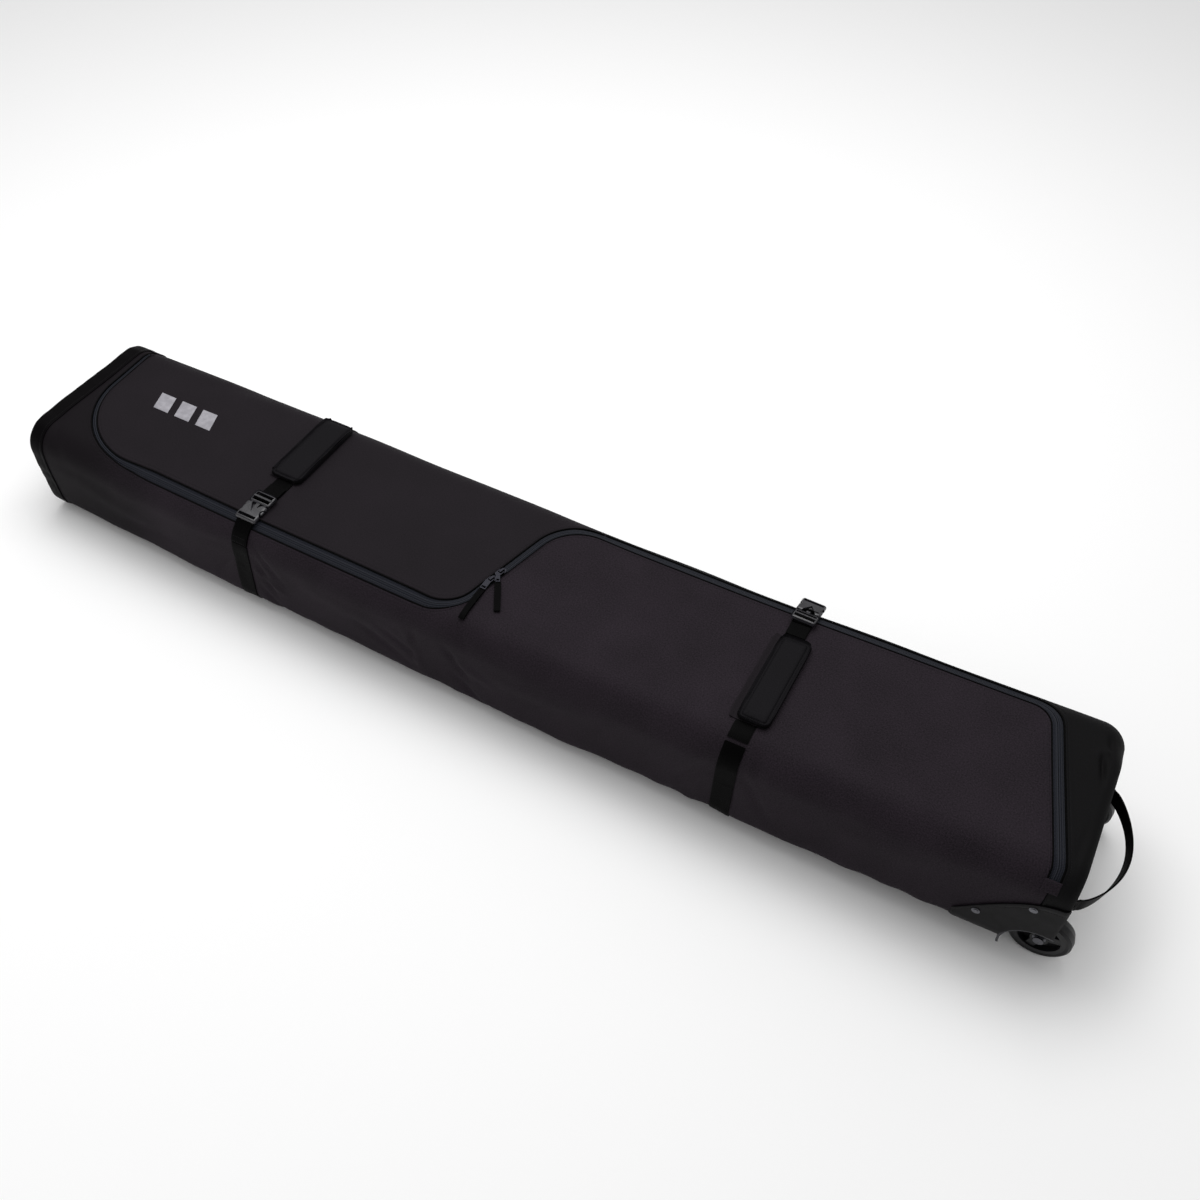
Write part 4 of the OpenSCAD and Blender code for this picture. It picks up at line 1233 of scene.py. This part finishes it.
# ---- Emblem: three slanted bars ----
emblem = {"x": -725, "w": 8, "pitch": 44, "wide": 30, "tall": 36, "slant": 12}
for k in range(3):
    def barPlan(u, v, k=k):
        return (emblem["x"] + emblem["pitch"] * k + emblem["wide"] * u - emblem["slant"] * v,
                emblem["w"] + emblem["tall"] * v)

    bar = layCloth(f"emblemBar{k + 1}", 16, 18, barPlan, tabLift(1.5), 1.3, tabMap(30, 36))
    attach(bar, "left_lid", silverPrint, ["left_lid_emblem"] if k == 0 else [])

# ---- Corner guards, with a sewn upper edge ----
guard = {"start": 737.0, "end": wheelEndX - 1.5, "low": 66.0, "rise": 98.0, "below": 30.0}


def guardTop(x):
    t = (x - guard["start"]) / (wheelEndX - guard["start"])
    return guard["low"] + guard["rise"] * np.sin(math.pi / 2 * t)


def guardPlan(side):
    def plan(u, v):
        x = guard["start"] + (guard["end"] - guard["start"]) * u
        down = flatTop(x) - bag["topRadius"] - guardTop(x)
        topW = topFlat(x) + bag["topRadius"] * math.pi / 2 + down
        lowW = seamW(x) - bag["bottomRadius"] * math.radians(guard["below"])
        return x, side * (topW + (lowW - topW) * v)
    return plan


def guardLift(u, v):
    rim = 0.9 * np.exp(-((v - 0.035) / 0.03) ** 2)
    return 2.6 + rim - 1.6 * (1 - np.clip(u * 22, 0, 1)) ** 2


for side, name in ((-1, "near"), (1, "far")):
    piece = layCloth(f"{name}CornerGuard", 60, 44, guardPlan(side), guardLift, 1.6)
    cutWells(piece, [side])
    attach(piece, "bag", guardSheet, [f"corner_guard_{name}"])
    along = (np.linspace(745, 862, 40) - guard["start"]) / (guard["end"] - guard["start"])
    sew("bag", *guardPlan(side)(along, np.full(40, 0.085)), 3.0)
print("guards made")

# ---- End handle: a soft loop of webbing with a slight twist ----
handle = {"y": (-110.0, 70.0), "z": 134.0, "wide": 25.0, "root": 8.0, "out": 50.0, "lean": 4.0}


def handlePlace(u, v, grow=0.0):
    reach = handle["root"] + (handle["out"] - handle["root"]) * np.sin(math.pi * u) ** 0.7 + grow
    twist = math.radians(22) * np.sin(math.pi * u) * (1 - 1.6 * u)
    width = (v - 0.5) * handle["wide"]
    x = wheelEndX + reach + width * np.sin(twist)
    y = handle["y"][0] + (handle["y"][1] - handle["y"][0]) * u
    z = handle["z"] + handle["lean"] * (2 * u - 1) + width * np.cos(twist)
    return np.stack([x + bag["shift"], y, z], axis=-1) * mm


loop = gridPiece("endHandle", 80, 10, lambda u, v: (handlePlace(u, v), handlePlace(u, v, 1)), 2.0,
                 tabMap(handle["wide"], 230))
attach(loop, "end_handle", webbing, ["end_handle"])
for number, (y, tilt) in enumerate(((-118.5, -1), (78.5, 1))):
    def rootPlace(u, v, grow=0.0, y=y, tilt=tilt):
        z = handle["z"] + handle["lean"] * tilt + (v - 0.5) * handle["wide"]
        inner = np.where(tilt > 0, 1 - u, u)
        x = wheelEndX + 1.2 + 2.2 * np.clip(inner * 3, 0, 1) + 5.5 * smooth(inner, 0.7, 1) + grow
        return np.stack([x + bag["shift"], y + (u - 0.5) * 19, z], axis=-1) * mm
    root = gridPiece(f"handleRoot{number + 1}", 16, 10,
                     lambda u, v: (rootPlace(u, v), rootPlace(u, v, 1)), 2.4, tabMap(handle["wide"], 15))
    attach(root, "bag", webbing, ["end_handle_tabs"] if number == 0 else [])

for body in list(seams):
    makeStitches(body)
print("handle and stitches made")

# ---- CAD pieces that keep their shape ----
keptMaterials = {"base_stiffener": floorSheet, "guard_rivets": platedSteel}
for place in ("near", "far"):
    keptMaterials[f"wheel_arch_{place}"] = archPlastic
    keptMaterials[f"axle_{place}"] = platedSteel
    keptMaterials[f"wheel_{place}_hub"] = hubNylon
    keptMaterials[f"wheel_{place}_tyre"] = tyreRubber
    keptMaterials[f"wheel_{place}_bearings"] = platedSteel
for hand in ("left", "right"):
    keptMaterials[f"{hand}_slider"] = zincEnamel
    keptMaterials[f"{hand}_pull_link"] = zincEnamel
for name, material in keptMaterials.items():
    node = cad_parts[name]
    node.data.materials.clear()
    node.data.materials.append(material)
for cutter in wellCutters.values():
    bpy.data.objects.remove(cutter)

# ---- Floor, light and camera ----
studio = {
    "floorHalf": 9.0,
    "floorColour": "#fafafa",
    "skyStrength": 0.6,
    "darkest": 0.42,
    "brightest": 1.2,
    # place, what it points at, size and power in watts
    "topBox": ((-0.5, 0.7, 2.6), (0, 0, 0.1), (2.6, 1.8), 50),
    "nearBox": ((-1.4, -2.3, 0.5), (-0.1, 0, 0.1), (2.2, 0.6), 9),
}
view = {"place": (0.61472, -1.05203, 1.54655), "turn": (40.4966, -1.9149, 28.2966), "lens": 36.985,
        "sensor": 36.0}
bpy.ops.object.select_all(action="DESELECT")
bpy.ops.mesh.primitive_plane_add(size=2 * studio["floorHalf"])
floor = bpy.context.active_object
floor.name = "studioFloor"
floorPaper, floorTree, floorShader = startMaterial("paintedStudioFloor", **{"Roughness": 0.9})
floorShader.inputs["Base Color"].default_value = linear(studio["floorColour"])
floor.data.materials.append(floorPaper)

world = bpy.data.worlds.new("studio")
world.use_nodes = True
# the room is bright overhead and behind, and darker low down in front
skyTree = world.node_tree
towards = addNode(skyTree, "ShaderNodeTexCoord").outputs["Generated"]
parts = addNode(skyTree, "ShaderNodeSeparateXYZ", {"Vector": towards})
upward = calculate(skyTree, "MULTIPLY_ADD", parts.outputs["Z"], 0.95, 0.22)
behind = calculate(skyTree, "MULTIPLY_ADD", parts.outputs["Y"], 0.45, upward)
room = remap(skyTree, behind, 0.0, 1.2, studio["darkest"], studio["brightest"])
sky = skyTree.nodes["Background"]
sky.inputs["Strength"].default_value = studio["skyStrength"]
skyTree.links.new(room, sky.inputs["Color"])
bpy.context.scene.world = world
bpy.context.scene.view_settings.view_transform = "Standard"


def softbox(name, place, target, size, power):
    data = bpy.data.lights.new(name, "AREA")
    data.shape = "RECTANGLE"
    data.size, data.size_y = size
    data.energy = power
    lamp = bpy.data.objects.new(name, data)
    lamp.location = place
    lamp.rotation_euler = (Vector(target) - Vector(place)).to_track_quat("-Z", "Y").to_euler()
    bpy.context.collection.objects.link(lamp)


for name in ("topBox", "nearBox"):
    softbox(name, *studio[name])

camera = bpy.data.objects.new("camera", bpy.data.cameras.new("camera"))
camera.location = view["place"]
camera.rotation_euler = [math.radians(a) for a in view["turn"]]
camera.data.lens = view["lens"]
camera.data.sensor_width = view["sensor"]
bpy.context.collection.objects.link(camera)
bpy.context.scene.camera = camera
